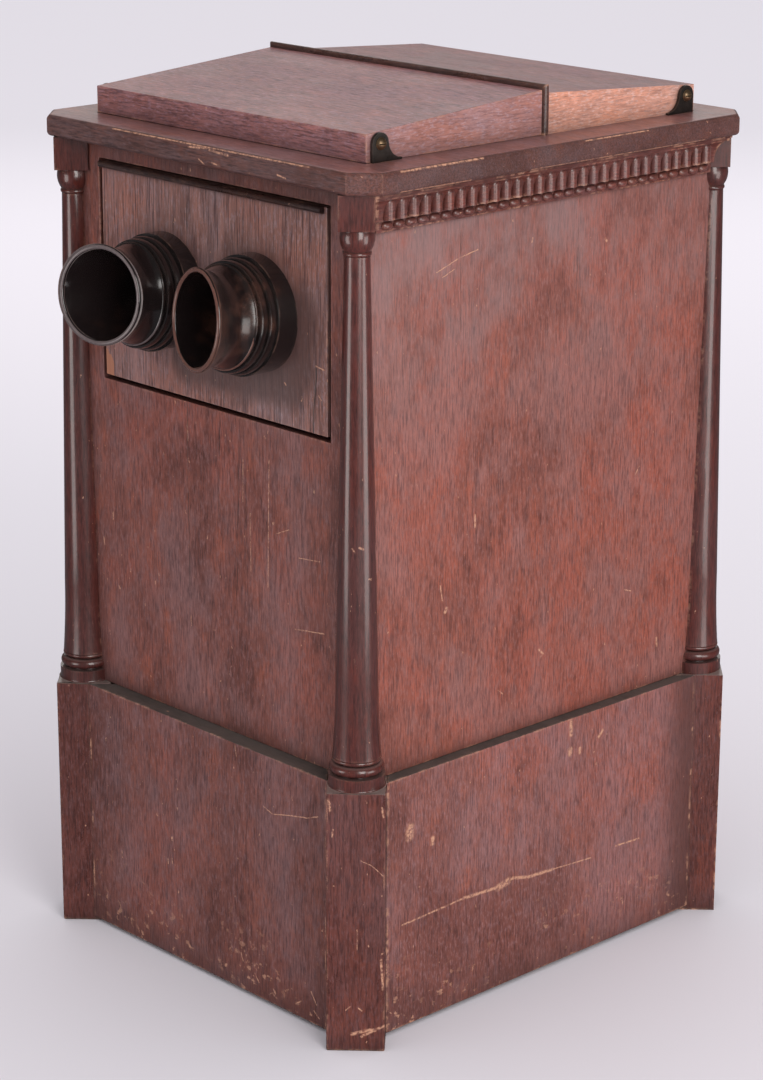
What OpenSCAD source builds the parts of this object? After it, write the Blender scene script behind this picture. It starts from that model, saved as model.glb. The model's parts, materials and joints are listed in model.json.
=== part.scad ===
// Table-top cabinet stereoscope with two light lids, a focusing eyepiece panel and a card reel.
// Millimetres, +Z up, front towards -Y. The origin lies on the table, under the middle of the outline.

/* [Case] */
// Height from the table to the ledge on top of the plinth
plinth_h = 140; // [110:1:180]
// Height of the upper case, from the ledge to the underside of the top board
case_h = 297; // [285:1:340]
// Width of the upper case
case_w = 224; // [218:1:260]
// Depth of the upper case
case_d = 252; // [240:1:290]
// Thickness of the case boards
board_t = 9; // [7:0.5:11]
// Ledge of the plinth at the front and the back
ledge_front = 10; // [6:0.5:14]
// Ledge of the plinth at the sides
ledge_side = 7; // [5:0.5:10]
// Gap between the table and the plinth boards
plinth_lift = 2.5; // [1:0.5:5]
// Thickness of the bottom board
bottom_t = 9; // [6:0.5:12]

/* [Corner posts] */
// Side of the square foot blocks
post_side = 29.7; // [27:0.1:34]
// Distance of the post axis in from the side of the case
post_in = 3.4; // [2:0.1:5]
// Distance of the post axis out from the front of the case
post_out = 1.1; // [0:0.1:3]
// Diameter of the disc at the foot of the column
disc_d = 28.6; // [25:0.1:29]
// Height of that disc
disc_h = 6.4; // [4:0.1:9]
// Diameter of the half-round ring on the disc
torus_d = 27.6; // [24:0.1:28.5]
// Height of that ring
torus_h = 5.2; // [3:0.1:7]
// Diameter of the thin ring under the shaft
thin_ring_d = 25; // [22:0.1:27]
// Height of that thin ring
thin_ring_h = 2.3; // [1.5:0.1:4]
// Depth of the grooves between the rings
groove_depth = 0.9; // [0.4:0.1:1.5]
// Height of each groove
groove_h = 0.7; // [0.4:0.1:1.2]
// Diameter of the shaft where it flares into its foot
flare_d = 24.6; // [22:0.1:26]
// Height of the flare
flare_h = 40; // [20:1:60]
// Diameter of the shaft above the flare
shaft_low_d = 21.4; // [18:0.1:23]
// Diameter of the shaft under its neck
shaft_top_d = 12.6; // [10:0.1:15]
// Diameter of the neck ring
neck_d = 14; // [11:0.1:16]
// Height of the neck ring
neck_h = 2.6; // [1.5:0.1:4]
// Diameter of the ball under the capital
ball_d = 17.2; // [15:0.1:17.5]
// Height of that ball, with what is sunk in the capital
ball_h = 11.5; // [9:0.1:13]
// Side of the square capital
capital_side = 17.6; // [15:0.1:20]
// Height of the capital
capital_h = 17.2; // [13:0.1:22]
// Depth of the column in its foot block and in its capital
column_bite = 1.2; // [0.8:0.1:2]

/* [Top board] */
// Overhang of the top board past the front and back of the case
top_over_front = 13.5; // [11:0.5:18]
// Overhang of the top board past the sides of the case
top_over_side = 14; // [12:0.5:18]
// Thickness of the top board
top_t = 11.2; // [9:0.1:14]
// Length cut off each corner along an edge
top_clip = 12.2; // [9:0.1:15]
// Radius of the rounded edges
top_round = 2.6; // [1:0.1:4]
// Width of the wood left between an opening and the edge of its lid
opening_rim = 19.5; // [18:0.5:24]
// Width of the bar between the two openings
middle_bar = 16; // [14:0.5:24]

/* [Cornice] */
// Height of the carved cornice
cornice_h = 20; // [18:0.5:24]
// Reach of the cornice out from the case
cornice_out = 9.4; // [8.5:0.1:11]
// Reach of the lower fillet and of the hollow's top
fillet_in = 8.4; // [7:0.1:8.5]
// Reach of the foot of the hollow
cove_in = 3; // [2:0.1:4]
// Reach of the bed that the beads lie in
bead_bed = 1.8; // [1:0.1:2.5]
// Height of each of the two fillets
fillet_h = 1.6; // [1:0.1:2.5]
// Height of the narrow edges beside the beads
quirk_h = 0.8; // [0.4:0.1:1.2]
// Distance between neighbouring tongues and beads
carving_pitch = 7.8; // [6:0.1:10]
// Diameter of a tongue
tongue_d = 6.6; // [4:0.1:7]
// Space between neighbouring beads
bead_space = 0.6; // [0.3:0.1:1.2]
// Thickness of a bead
bead_d = 4.6; // [3:0.1:5]

/* [Lids] */
// Distance of the lids' sides in from the edge of the top board
lid_side_in = 24; // [18:0.5:30]
// Distance of the front lid's face in from the edge of the top board
lid_front_in = 24; // [16:0.5:28]
// Distance of the rear lid's face in from the edge of the top board
lid_rear_in = 21.5; // [16:0.5:26]
// Distance of the ridge strip behind the middle of the case
ridge_back = 4; // [0:0.5:8]
// Height of both lids at their outer ends
lid_low_h = 13.8; // [13:0.1:18]
// Height of the front lid at the ridge
front_ridge_h = 22.5; // [20:0.1:28]
// Height of the rear lid at the ridge
rear_ridge_h = 20.7; // [19:0.1:26]
// Thickness of the walls under the lids at the sides and the ridge
lid_wall = 8; // [6:0.5:10]
// Thickness of the wall under a lid at its pivots
lid_end_wall = 13; // [12:0.5:16]
// Thickness of the lids' sloping tops
lid_top_t = 5.5; // [4:0.5:7]
// Gap between the ridge strip and the rear lid
lid_gap = 0.7; // [0.5:0.1:1.5]
// Thickness of the ridge strip
strip_t = 4; // [3:0.1:6]
// Height of the ridge strip
strip_h = 25.2; // [23:0.1:30]
// Distance that the strip stands past the sides of the lid
strip_proud = 1.6; // [1:0.1:3]

/* [Lid pivots] */
// Distance of the pivot in from the lid's outer end
pivot_in = 7.8; // [7:0.1:9]
// Height of the pivot above the top board
pivot_up = 8.9; // [8.5:0.1:9.5]
// Diameter of the pivot screw
pivot_d = 4; // [3:0.1:5]
// Length of the pivot screw in the lid
pivot_grip = 14; // [10:1:20]
// Diameter of the screw head
head_d = 6.3; // [5.5:0.1:8]
// Height of the screw head
head_h = 2.2; // [1.5:0.1:3]
// Width of the slot in the head
slot_w = 0.8; // [0.5:0.1:1.2]
// Depth of the slot in the head
slot_depth = 1; // [0.5:0.1:1.4]
// Radius of the ear round the pivot
ear_r = 5.2; // [4:0.1:6]
// Thickness of the ear
ear_t = 1.6; // [1.2:0.1:2.5]
// Length of the ear's foot behind the pivot
ear_foot = 14; // [11:0.5:18]
// Thickness of the toe at the end of the ear's foot
ear_toe = 1; // [0.5:0.1:2]
// Length of the ear's tang
tang_len = 16; // [10:0.5:16]
// Depth of the ear's tang in the top board
tang_h = 6; // [4:0.5:8]

/* [Eyepiece panel] */
// Width of the opening in the front board
panel_open_w = 177; // [170:1:190]
// Height of the opening
panel_open_h = 116.5; // [110:0.5:124]
// Wood left above the opening
frieze_h = 9.5; // [7:0.5:14]
// Gap beside and below the panel
panel_gap = 2.2; // [1:0.1:3]
// Gap above the panel
panel_top_gap = 1; // [0.6:0.1:3]
// Height of the half-round bead along the top of the panel
panel_bead_h = 3.4; // [2:0.1:5]
// Distance that the bead stands out of the panel
panel_bead_out = 2.8; // [1.7:0.1:4]
// Distance from one lens axis to the other
lens_pitch = 70.4; // [66:0.1:76]
// Height of the lens axes above the bottom of the opening
lens_up = 56; // [50:0.5:62]
// Length of the runners behind the panel
runner_len = 85; // [70:1:95]
// Width of a runner
runner_w = 9; // [7:0.5:11]
// Height of a runner
runner_h = 14; // [10:0.5:18]
// Length of the guides
guide_len = 70; // [60:1:80]
// Thickness of the guides' lips
guide_lip = 6; // [4:0.5:8]
// Length of the septum behind the panel
septum_len = 80; // [50:1:90]
// Height of the septum
septum_h = 78; // [60:1:84]
// Thickness of the septum
septum_t = 4; // [3:0.5:6]

/* [Eyecups] */
// Length of an eyecup along its axis, from the panel to the middle of its mouth
cup_len = 40.4; // [38:0.1:46]
// Angle at which the mouth is cut, longer on the temple side
cup_tilt = 14; // [8:0.5:18]
// Angle at which the rings and the mouth look up
cup_lift = 6; // [2:0.5:8]
// Distance from the panel to the point that this angle turns about
lift_at = 14; // [12:0.5:16]
// Diameter of the drum on the panel
drum_d = 59.6; // [58:0.1:66]
// Length of the drum along the axis
drum_t = 11.6; // [10:0.1:13]
// Diameter over the first ring, next to the drum
ring_one_d = 57.8; // [56:0.1:58]
// Height of the first ring
ring_one_h = 4.9; // [4:0.1:6]
// Diameter over the second ring
ring_two_d = 55.6; // [54:0.1:57]
// Height of the second ring
ring_two_h = 4.4; // [3:0.1:5]
// Diameter over the third ring
ring_three_d = 52.4; // [51:0.1:54]
// Height of the third ring
ring_three_h = 1.8; // [1:0.1:3]
// Width of the grooves between the rings
ring_quirk = 0.4; // [0.3:0.1:0.8]
// Height of the rounding of a ring
ring_rise = 0.8; // [0.5:0.1:1.2]
// Diameter of the waist, without its soft ends
waist_d = 43.2; // [42:0.1:44]
// Distance from the panel to where the neck stops narrowing
neck_at = 32; // [30:0.1:34]
// Narrowing of the neck for each millimetre of length
neck_slope = 0.38; // [0.3:0.01:0.45]
// Distance from the panel to where the mouth starts to widen
flare_at = 32; // [30:0.1:34]
// Widening of the mouth for each millimetre of length
flare_slope = 0.42; // [0.34:0.01:0.5]
// Thickness of the rounded lip
lip_t = 2.6; // [2:0.1:3.2]
// Diameter of the spigot in the panel
spigot_d = 38; // [36:0.5:40]
// Diameter of a lens
lens_d = 32; // [30:0.5:33]
// Thickness of a lens at its middle
lens_t = 7; // [5:0.1:7]
// Thickness of a lens at its edge
lens_edge = 2; // [1.5:0.1:3]
// Width of the seat in front of the lens and of the ring behind it
lens_seat = 1.5; // [1:0.1:2.5]
// Step from the lens's edge out to the throat of the eyecup
throat_step = 0.5; // [0.2:0.1:1]
// Thickness of the seat's web
web_t = 2; // [1.5:0.1:3]
// Length of the ring behind the lens
lens_ring_len = 3; // [2:0.1:3.5]

/* [Mirror] */
// Thickness of the mirror in the front lid
mirror_t = 3; // [2:0.1:4]
// Gap between a fillet of the mirror and the side of the lid
mirror_room = 4; // [2:0.5:8]
// Length of the mirror down the slope
mirror_len = 84; // [70:1:90]
// Width of the fillets that hold the mirror
mirror_fillet = 6; // [4:0.5:8]

/* [Card reel] */
// Diameter of the axle
axle_d = 8; // [6:0.5:10]
// Diameter of the roller
roller_d = 40; // [36:0.5:44]
// Length of the roller
roller_len = 132; // [110:1:150]
// Width of each tape of the belt
tape_w = 24; // [16:1:30]
// Distance between the middles of the two tapes
tape_pitch = 96; // [70:1:100]
// Thickness of the tapes
tape_t = 1; // [0.6:0.1:1.5]
// Height of the lowest bend of the belt above the bottom board
belt_clear = 28; // [15:1:40]
// Width of a stereo card
card_w = 171; // [160:1:176]
// Room between the edge of a card and the back board
card_room = 4.4; // [3:0.1:10]
// Thickness of a stereo card
card_t = 1; // [0.8:0.1:1.5]
// Length of a card holder
holder_w = 150; // [130:1:165]
// Height of a card holder
holder_h = 6; // [5:0.5:8]
// Thickness of a card holder
holder_t = 4; // [3:0.1:6]
// Depth of a card in its holder
holder_grip = 3.3; // [2:0.1:4]
// Diameter of a bearing's plate
bearing_d = 32; // [26:1:40]
// Thickness of a bearing's plate
bearing_t = 4; // [3:0.5:6]
// Diameter of a bearing's boss
boss_d = 16; // [13:0.5:20]
// Length of a bearing's boss
boss_len = 5; // [3:0.5:8]
// Diameter of the turning knob
knob_d = 30; // [24:0.5:36]
// Length of the turning knob
knob_len = 16.5; // [13:0.5:17]
// Diameter of the knob's neck
knob_neck_d = 17; // [14:0.5:20]
// Radius of the knob's rounded edges, and length of its neck
knob_round = 4; // [2:0.5:5]
// Depth of the axle in the knob
knob_grip = 11; // [8:0.5:12]

/* [Fits] */
// Radial running clearance of a shaft in its bore
run_clear = 0.05; // [0.02:0.01:0.1]
// Clearance between pieces that slide or swing past each other
move_clear = 0.4; // [0.3:0.05:0.6]

/* [Hidden] */
$fn = 64;
eps = 0.01;
case_z = plinth_h;
case_top = plinth_h + case_h;
top_z = case_top + top_t;
half_w = case_w / 2;
half_d = case_d / 2;
in_w = half_w - board_t;
in_d = half_d - board_t;
plinth_x = half_w + ledge_side;
plinth_y = half_d + ledge_front;
post_x = half_w - post_in;
post_y = half_d + post_out;
post_diag = post_side / sqrt(2);
top_x = half_w + top_over_side;
top_y = half_d + top_over_front;

// A post's faces lie where x - y = post_face_x beside the side boards and y - x = post_face_y at the front
post_face_x = post_x - post_y + post_diag;
post_face_y = post_y - post_x + post_diag;
capital_face_x = post_x - post_y + capital_side / sqrt(2);

// Heights in the front opening
open_top = case_top - frieze_h;
open_low = open_top - panel_open_h;
lens_z = open_low + lens_up;
lens_x = lens_pitch / 2;
panel_w = panel_open_w - 2 * panel_gap;
panel_low = open_low + panel_gap;
panel_top = open_top - panel_top_gap;
panel_y = -half_d;
panel_back = panel_y + board_t;

// Distances along an eyecup, from the panel out
ring_one_z = drum_t;
ring_two_z = ring_one_z + ring_one_h + ring_quirk;
ring_three_z = ring_two_z + ring_two_h + ring_quirk;
rings_end = ring_three_z + ring_three_h;
ring_sunk = 2;
drum_lap = 0.2;
ring_groove = 0.5;
cup_soft = 4;
cup_steps = 18;

// Widening that starts softly, so that the neck runs into the mouth
function widen(d, start) = (sqrt((d - start) * (d - start) + cup_soft * cup_soft) + d - start) / 2;
function cup_r(d) = waist_d / 2 + flare_slope * widen(d, flare_at) + neck_slope * widen(neck_at, d);
lens_r = lens_d / 2;
seat_r = lens_r - lens_seat;
throat_r = lens_r + throat_step;
bore_slope = (cup_r(cup_len) - lip_t - throat_r) / (cup_len - lift_at);
function bore_r(d) = throat_r + bore_slope * (d - lift_at);
bore_lap = 8;
throat_end = lift_at + bore_lap;
bore_start = lift_at - bore_lap;
mouth_rise = cup_r(cup_len) * tan(cup_tilt);
cup_far = cup_len + 1.2 * mouth_rise;
lip_shift = (cup_r(cup_len + mouth_rise) - cup_r(cup_len - mouth_rise)) / 2;
lip_z = cup_len + lip_shift * tan(cup_tilt);
lip_ring_r = cup_r(cup_len) - lip_t / 2;
lip_lean = acos(cos(cup_lift) * cos(cup_tilt));
cup_reach = lift_at + (lip_z - lift_at) * cos(cup_lift) + lip_ring_r * sin(lip_lean) + lip_t / 2;

// Middle of the case, so that the outline with the eyecups is centred on the origin
cab_y = (half_d + cup_reach - post_y - post_diag) / 2;

// Lids and pivots, in the case's own frame
lid_x = top_x - lid_side_in;
front_end = -(top_y - lid_front_in);
rear_end = top_y - lid_rear_in;
strip_y = ridge_back;
front_back = strip_y;
rear_front = strip_y + strip_t + lid_gap;
front_pivot_y = front_end + pivot_in;
rear_pivot_y = rear_end - pivot_in;
pivot_z = top_z + pivot_up;
cove_r = sqrt(pivot_in * pivot_in + pivot_up * pivot_up) + move_clear;
ear_x = lid_x + move_clear;
front_slope = (front_ridge_h - lid_low_h) / (front_back - front_end);
mirror_w = 2 * (lid_x - lid_wall - mirror_room - mirror_fillet);

// Card reel, in the case's own frame
reel_y = strip_y + strip_t / 2;
tape_r = roller_d / 2 + move_clear;
holder_r = tape_r + tape_t;
card_r = holder_r + holder_h - holder_grip;
card_h = in_d - reel_y - card_r - card_room;
reel_z = lens_z - card_r - card_h / 2;
bottom_lift = 2;
bottom_z = plinth_lift + bottom_lift;
loop_z = bottom_z + bottom_t + belt_clear + holder_r;
card_pitch = holder_r * PI / 2;
cards_a_side = floor((reel_z - loop_z) / card_pitch) + 1;
axle_r = axle_d / 2;
axle_right = in_w - move_clear;
axle_left = -half_w - move_clear - knob_grip;

guide_x = panel_w / 2 + move_clear;
runner_x = panel_w / 2 - runner_w;

mahogany = "#5c2a24";
dark_mahogany = "#3e1c19";
bare_wood = "#b0744c";
ebonised = "#1d1614";
bronze = "#4a443f";
brass = "#a08a58";
glass = "#cfdad8";
card_grey = "#b5aa96";
tape_cream = "#9a8c72";

// Shared shapes

module in_case() translate([0, cab_y, 0]) children();

module box(low, high) translate(low) cube(high - low);

// Bar along X of an outline drawn with y to the right and z up
module along_x(x_low, x_high) {
    translate([x_low, 0, 0])
        rotate([90, 0, 90])
            linear_extrude(x_high - x_low)
                children();
}

// Rod along X
module rod(x_low, x_high, y, z, r) {
    translate([x_low, y, z])
        rotate([0, 90, 0])
            cylinder(h = x_high - x_low, r = r);
}

function arc(x, y, r, from, to, steps = 12) =
    [for (i = [0 : steps]) let (a = from + (to - from) * i / steps) [x + r * cos(a), y + r * sin(a)]];

// Half-round ring of a turned piece, from one height to the next, in radius and height
function half_round(r, low, high) = arc(r - (high - low) / 2, (low + high) / 2, (high - low) / 2, -90, 90);

// Corner posts

shaft_z = disc_h + torus_h + thin_ring_h + 2 * groove_h;
neck_z = case_h - capital_h + column_bite - ball_h - neck_h;
torus_groove_r = torus_d / 2 - torus_h / 2 - groove_depth;
thin_groove_r = thin_ring_d / 2 - thin_ring_h / 2 - groove_depth;

// The ball runs from its low angle under the middle to its top angle above it
ball_low = 40;
ball_top = 30;
function ball_z(a) = neck_z + neck_h + ball_h * (sin(a) + sin(ball_low)) / (sin(ball_top) + sin(ball_low));

// Turned column in radius and height above the ledge
column_outline = concat(
    [[0, -column_bite], [disc_d / 2, -column_bite], [disc_d / 2, disc_h]],
    [[torus_groove_r, disc_h], [torus_groove_r, disc_h + groove_h]],
    half_round(torus_d / 2, disc_h + groove_h, disc_h + groove_h + torus_h),
    [[thin_groove_r, disc_h + groove_h + torus_h]],
    half_round(thin_ring_d / 2, shaft_z - thin_ring_h, shaft_z),
    [for (i = [0 : 10]) let (t = i / 10)
        [shaft_low_d / 2 + (flare_d - shaft_low_d) / 2 * (1 - t) * (1 - t), shaft_z + flare_h * t]],
    [[shaft_top_d / 2, neck_z]],
    half_round(neck_d / 2, neck_z, neck_z + neck_h),
    [for (a = [-ball_low : 10 : ball_top]) [ball_d / 2 * cos(a), ball_z(a)]],
    [[0, ball_z(ball_top)]]
);

// Square block on the post's axis, set at 45 degrees
module turned_block(side, z, h) {
    rotate(45)
        translate([-side / 2, -side / 2, z])
            cube([side, side, h]);
}

module corner_post(side_x, side_y) {
    place = [side_x * post_x, side_y * post_y, 0];
    color(dark_mahogany) in_case() {
        translate(place) turned_block(post_side, 0, plinth_h);
        difference() {
            translate(place) {
                translate([0, 0, plinth_h]) rotate_extrude() polygon(column_outline);
                turned_block(capital_side, case_top - capital_h, capital_h);
            }
            box([-half_w, -half_d, case_z - column_bite - eps], [half_w, half_d, case_top + eps]);
        }
    }
}

module post_front_left() corner_post(-1, -1);
module post_front_right() corner_post(1, -1);
module post_rear_left() corner_post(-1, 1);
module post_rear_right() corner_post(1, 1);

// Plinth boards, cut at 45 degrees against the foot blocks

module plinth_board_front(side) {
    outer = plinth_y;
    inner = in_d;
    color(mahogany) in_case()
        translate([0, 0, plinth_lift])
            linear_extrude(plinth_h - plinth_lift)
                polygon([
                    [-(outer - post_face_y), side * outer], [outer - post_face_y, side * outer],
                    [inner - post_face_y, side * inner], [-(inner - post_face_y), side * inner]
                ]);
}

module plinth_board_side(side) {
    outer = plinth_x;
    inner = in_w;
    color(mahogany) in_case()
        translate([0, 0, plinth_lift])
            linear_extrude(plinth_h - plinth_lift)
                polygon([
                    [side * outer, -(outer - post_face_x)], [side * outer, outer - post_face_x],
                    [side * inner, inner - post_face_x], [side * inner, -(inner - post_face_x)]
                ]);
}

module plinth_front() plinth_board_front(-1);
module plinth_rear() plinth_board_front(1);
module plinth_left() plinth_board_side(-1);
module plinth_right() plinth_board_side(1);

// The bottom board fills the plinth, with its corners cut back to the foot blocks
module bottom_board() {
    inner_face = post_x + post_y - post_diag;
    color(bare_wood) in_case()
        translate([0, 0, bottom_z])
            linear_extrude(bottom_t)
                polygon([
                    for (corner = [[1, -1], [1, 1], [-1, 1], [-1, -1]])
                        let (on_side = [in_w, inner_face - in_w], on_front = [inner_face - in_d, in_d])
                        let (first = corner[0] * corner[1] < 0 ? on_front : on_side)
                        let (second = corner[0] * corner[1] < 0 ? on_side : on_front)
                        each [
                            [corner[0] * first[0], corner[1] * first[1]],
                            [corner[0] * second[0], corner[1] * second[1]]
                        ]
                ]);
}

// Upper case

module front_board() {
    color(mahogany) in_case() difference() {
        box([-in_w, -half_d, case_z], [in_w, -in_d, case_top]);
        box([-panel_open_w / 2, -half_d - eps, open_low], [panel_open_w / 2, -in_d + eps, open_top]);
    }
}

module back_board() {
    color(mahogany) in_case() box([-in_w, in_d, case_z], [in_w, half_d, case_top]);
}

module left_side_board() {
    color(mahogany) in_case() difference() {
        box([-half_w, -half_d, case_z], [-in_w, half_d, case_top]);
        rod(-half_w - eps, -in_w + eps, reel_y, reel_z, axle_r + move_clear);
    }
}

module right_side_board() {
    color(mahogany) in_case() box([in_w, -half_d, case_z], [half_w, half_d, case_top]);
}

// Bar along X with rounded edges, standing on the floor of its own frame
module round_edged_bar(half_length, half_width, height, r) {
    along_x(-half_length, half_length) {
        for (y = [-half_width + r, half_width - r], z = [r, height - r])
            translate([y, z]) circle(r);
        translate([-half_width + r, 0]) square([2 * (half_width - r), height]);
        translate([-half_width, r]) square([2 * half_width, height - 2 * r]);
    }
}

// Ear seen from its side, with the pivot at the origin: a round head on a foot that sweeps out to a toe
module ear_outline() {
    sweep_r = ear_foot - ear_r;
    difference() {
        union() {
            circle(ear_r);
            translate([-ear_r, -pivot_up]) square([ear_r + ear_foot, pivot_up]);
        }
        translate([ear_foot, sweep_r - pivot_up + ear_toe]) circle(sweep_r);
        translate([ear_r, sweep_r - pivot_up + ear_toe]) square([ear_foot, pivot_up]);
    }
}

module top_board() {
    reach = (top_x + top_y - top_clip) / sqrt(2);
    color(mahogany) in_case() difference() {
        translate([0, 0, case_top]) intersection() {
            round_edged_bar(2 * top_y, top_y, top_t, top_round);
            rotate(90) round_edged_bar(2 * top_x, top_x, top_t, top_round);
            rotate(45) round_edged_bar(2 * top_y, reach, top_t, top_round);
            rotate(-45) round_edged_bar(2 * top_y, reach, top_t, top_round);
        }
        light_opening(front_end + opening_rim, reel_y - middle_bar / 2);
        light_opening(reel_y + middle_bar / 2, rear_end - opening_rim);
        rod(-ear_x, ear_x, front_pivot_y, pivot_z, cove_r);
        rod(-ear_x, ear_x, rear_pivot_y, pivot_z, cove_r);
        for (side = [-1, 1]) {
            ear_tang(side, front_pivot_y, 1);
            ear_tang(side, rear_pivot_y, -1);
        }
    }
}

module light_opening(y_low, y_high) {
    half = lid_x - lid_wall - move_clear;
    box([-half, y_low, case_top - eps], [half, y_high, top_z + eps]);
}

// Cornice

cornice_low = case_top - cornice_h;
bead_z = cornice_low + quirk_h + bead_d / 2;
cove_z = bead_z + bead_d / 2 + quirk_h;
cove_top = case_top - 2 * fillet_h;
tongue_top = cove_top - tongue_d / 2 + quirk_h;

// Section of the cornice out from the case and up: bead bed, hollow and two fillets
cornice_outline = concat(
    [[0, cornice_low], [bead_bed, cornice_low], [bead_bed, cove_z - quirk_h], [cove_in, cove_z - quirk_h]],
    [for (a = [0 : 10 : 90])
        [cove_in + (fillet_in - cove_in) * (1 - cos(a)), cove_z + (cove_top - cove_z) * sin(a)]],
    [[fillet_in, case_top - fillet_h], [cornice_out, case_top - fillet_h]],
    [[cornice_out, case_top], [0, case_top]]
);

module cornice(side) {
    half_len = half_w - capital_face_x;
    count = floor(2 * half_len / carving_pitch);
    color(dark_mahogany) in_case() mirror([side < 0 ? 1 : 0, 0, 0]) difference() {
        translate([half_w, 0, 0]) union() {
            rotate([90, 0, 0])
                linear_extrude(4 * half_len, center = true)
                    polygon(cornice_outline);
            for (i = [0 : count - 1]) translate([0, (i - (count - 1) / 2) * carving_pitch, 0]) {
                translate([cove_in, 0, cove_z]) cylinder(h = tongue_top - cove_z, d = tongue_d);
                translate([cove_in, 0, tongue_top]) sphere(d = tongue_d);
                translate([bead_bed, 0, bead_z]) oval_bead();
            }
        }
        for (end = [-1, 1]) mirror([0, end < 0 ? 1 : 0, 0])
            translate([half_w, half_len, cornice_low - 1])
                rotate(45)
                    translate([-cornice_h, 0, 0])
                        cube([4 * case_w, 2 * case_d, cornice_h + 2]);
        box([0, -case_d, cornice_low - 1], [half_w, case_d, case_top + 1]);
    }
}

// Spindle-shaped bead along Y
module oval_bead() {
    long = carving_pitch / 2 - bead_space / 2;
    curve = [for (a = [-75 : 15 : 75]) [bead_d / 2 * cos(a), long * sin(a)]];
    rotate([90, 0, 0])
        rotate_extrude()
            polygon(concat([[0, -long]], curve, [[0, long]]));
}

module left_cornice() cornice(-1);
module right_cornice() cornice(1);

// Hinge ears, each a plate let into the top board

module ear_tang(side, y, way) {
    low = side > 0 ? ear_x : -ear_x - ear_t;
    y_low = way > 0 ? y - ear_r : y + ear_r - tang_len;
    box([low, y_low, top_z - tang_h], [low + ear_t, y_low + tang_len, top_z + eps]);
}

module hinge_ears(y, way) {
    color(bronze) in_case() for (side = [-1, 1]) {
        low = side > 0 ? ear_x : -ear_x - ear_t;
        difference() {
            union() {
                translate([0, y, pivot_z]) along_x(low, low + ear_t)
                    mirror([way > 0 ? 0 : 1, 0]) ear_outline();
                ear_tang(side, y, way);
            }
            rod(low - eps, low + ear_t + eps, y, pivot_z, pivot_d / 2 + run_clear);
        }
    }
}

module front_lid_ears() hinge_ears(front_pivot_y, 1);
module rear_lid_ears() hinge_ears(rear_pivot_y, -1);

// Lids

// Hollow wedge from an outer end to the ridge
module wedge_lid(end, ridge, ridge_h, pivot_y) {
    way = ridge > end ? 1 : -1;
    slope = (ridge_h - lid_low_h) / abs(ridge - end);
    function roof(y) = top_z + lid_low_h + slope * way * (y - end);
    inner_end = end + way * lid_end_wall;
    inner_ridge = ridge - way * lid_wall;
    difference() {
        along_x(-lid_x, lid_x)
            polygon([[end, top_z], [end, roof(end)], [ridge, roof(ridge)], [ridge, top_z]]);
        along_x(-lid_x + lid_wall, lid_x - lid_wall) polygon([
            [inner_end, top_z - 1], [inner_end, roof(inner_end) - lid_top_t],
            [inner_ridge, roof(inner_ridge) - lid_top_t], [inner_ridge, top_z - 1]
        ]);
        for (side = [-1, 1])
            rod(side > 0 ? lid_x - pivot_grip : -lid_x - 1, side > 0 ? lid_x + 1 : -lid_x + pivot_grip,
                pivot_y, pivot_z, pivot_d / 2);
    }
}

module front_lid() {
    color(mahogany) in_case() wedge_lid(front_end, front_back, front_ridge_h, front_pivot_y);
}

module rear_lid() {
    color(mahogany) in_case() wedge_lid(rear_end, rear_front, rear_ridge_h, rear_pivot_y);
}

// Strip glued to the ridge end of the front lid, rounded on top
module ridge_strip() {
    half = lid_x + strip_proud;
    r = strip_t / 2;
    color(dark_mahogany) in_case() intersection() {
        along_x(-half, half) translate([strip_y + r, top_z]) {
            translate([-r, 0]) square([strip_t, strip_h - r]);
            translate([0, strip_h - r]) circle(r);
        }
        translate([0, strip_y + r, top_z]) linear_extrude(strip_h) {
            translate([-half + r, -r]) square([2 * (half - r), strip_t]);
            for (x = [-half + r, half - r]) translate([x, 0]) circle(r);
        }
    }
}

// The mirror lies under the front lid's sloping top, between two fillets
module under_roof(x_low, x_high, length, thick) {
    middle = (front_end + lid_end_wall + front_back - lid_wall) / 2;
    function under(y) = top_z + lid_low_h - lid_top_t + front_slope * (y - front_end);
    y_low = middle - length / 2;
    y_high = middle + length / 2;
    along_x(x_low, x_high) polygon([
        [y_low, under(y_low)], [y_high, under(y_high)],
        [y_high, under(y_high) - thick], [y_low, under(y_low) - thick]
    ]);
}

module light_mirror() {
    color(glass) in_case() under_roof(-mirror_w / 2, mirror_w / 2, mirror_len, mirror_t);
}

module mirror_fillets() {
    color(dark_mahogany) in_case() for (side = [-1, 1])
        under_roof(side > 0 ? mirror_w / 2 : -mirror_w / 2 - mirror_fillet,
            side > 0 ? mirror_w / 2 + mirror_fillet : -mirror_w / 2, mirror_len, mirror_t);
}

// Round-headed screws on which the lids turn
module pivot_screws(y) {
    dome_r = (head_h * head_h + head_d * head_d / 4) / (2 * head_h);
    dome_arc = asin(head_d / 2 / dome_r);
    shank_len = pivot_grip + move_clear + ear_t + move_clear / 2;
    outline = concat(
        [[0, 0], [pivot_d / 2, 0], [pivot_d / 2, shank_len], [head_d / 2, shank_len]],
        arc(0, shank_len + head_h - dome_r, dome_r, 90 - dome_arc, 90 - dome_arc / 6, 5),
        [[0, shank_len + head_h]]
    );
    color(brass) in_case() for (side = [-1, 1])
        translate([side * (lid_x - pivot_grip), y, pivot_z]) rotate([0, side * 90, 0]) difference() {
            rotate_extrude() polygon(outline);
            box([-slot_w / 2, -head_d, shank_len + head_h - slot_depth],
                [slot_w / 2, head_d, shank_len + 2 * head_h]);
        }
}

module front_pivot_screws() pivot_screws(front_pivot_y);
module rear_pivot_screws() pivot_screws(rear_pivot_y);

// Focusing slide: the panel, its runners, the guides in the case and the septum

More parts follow.
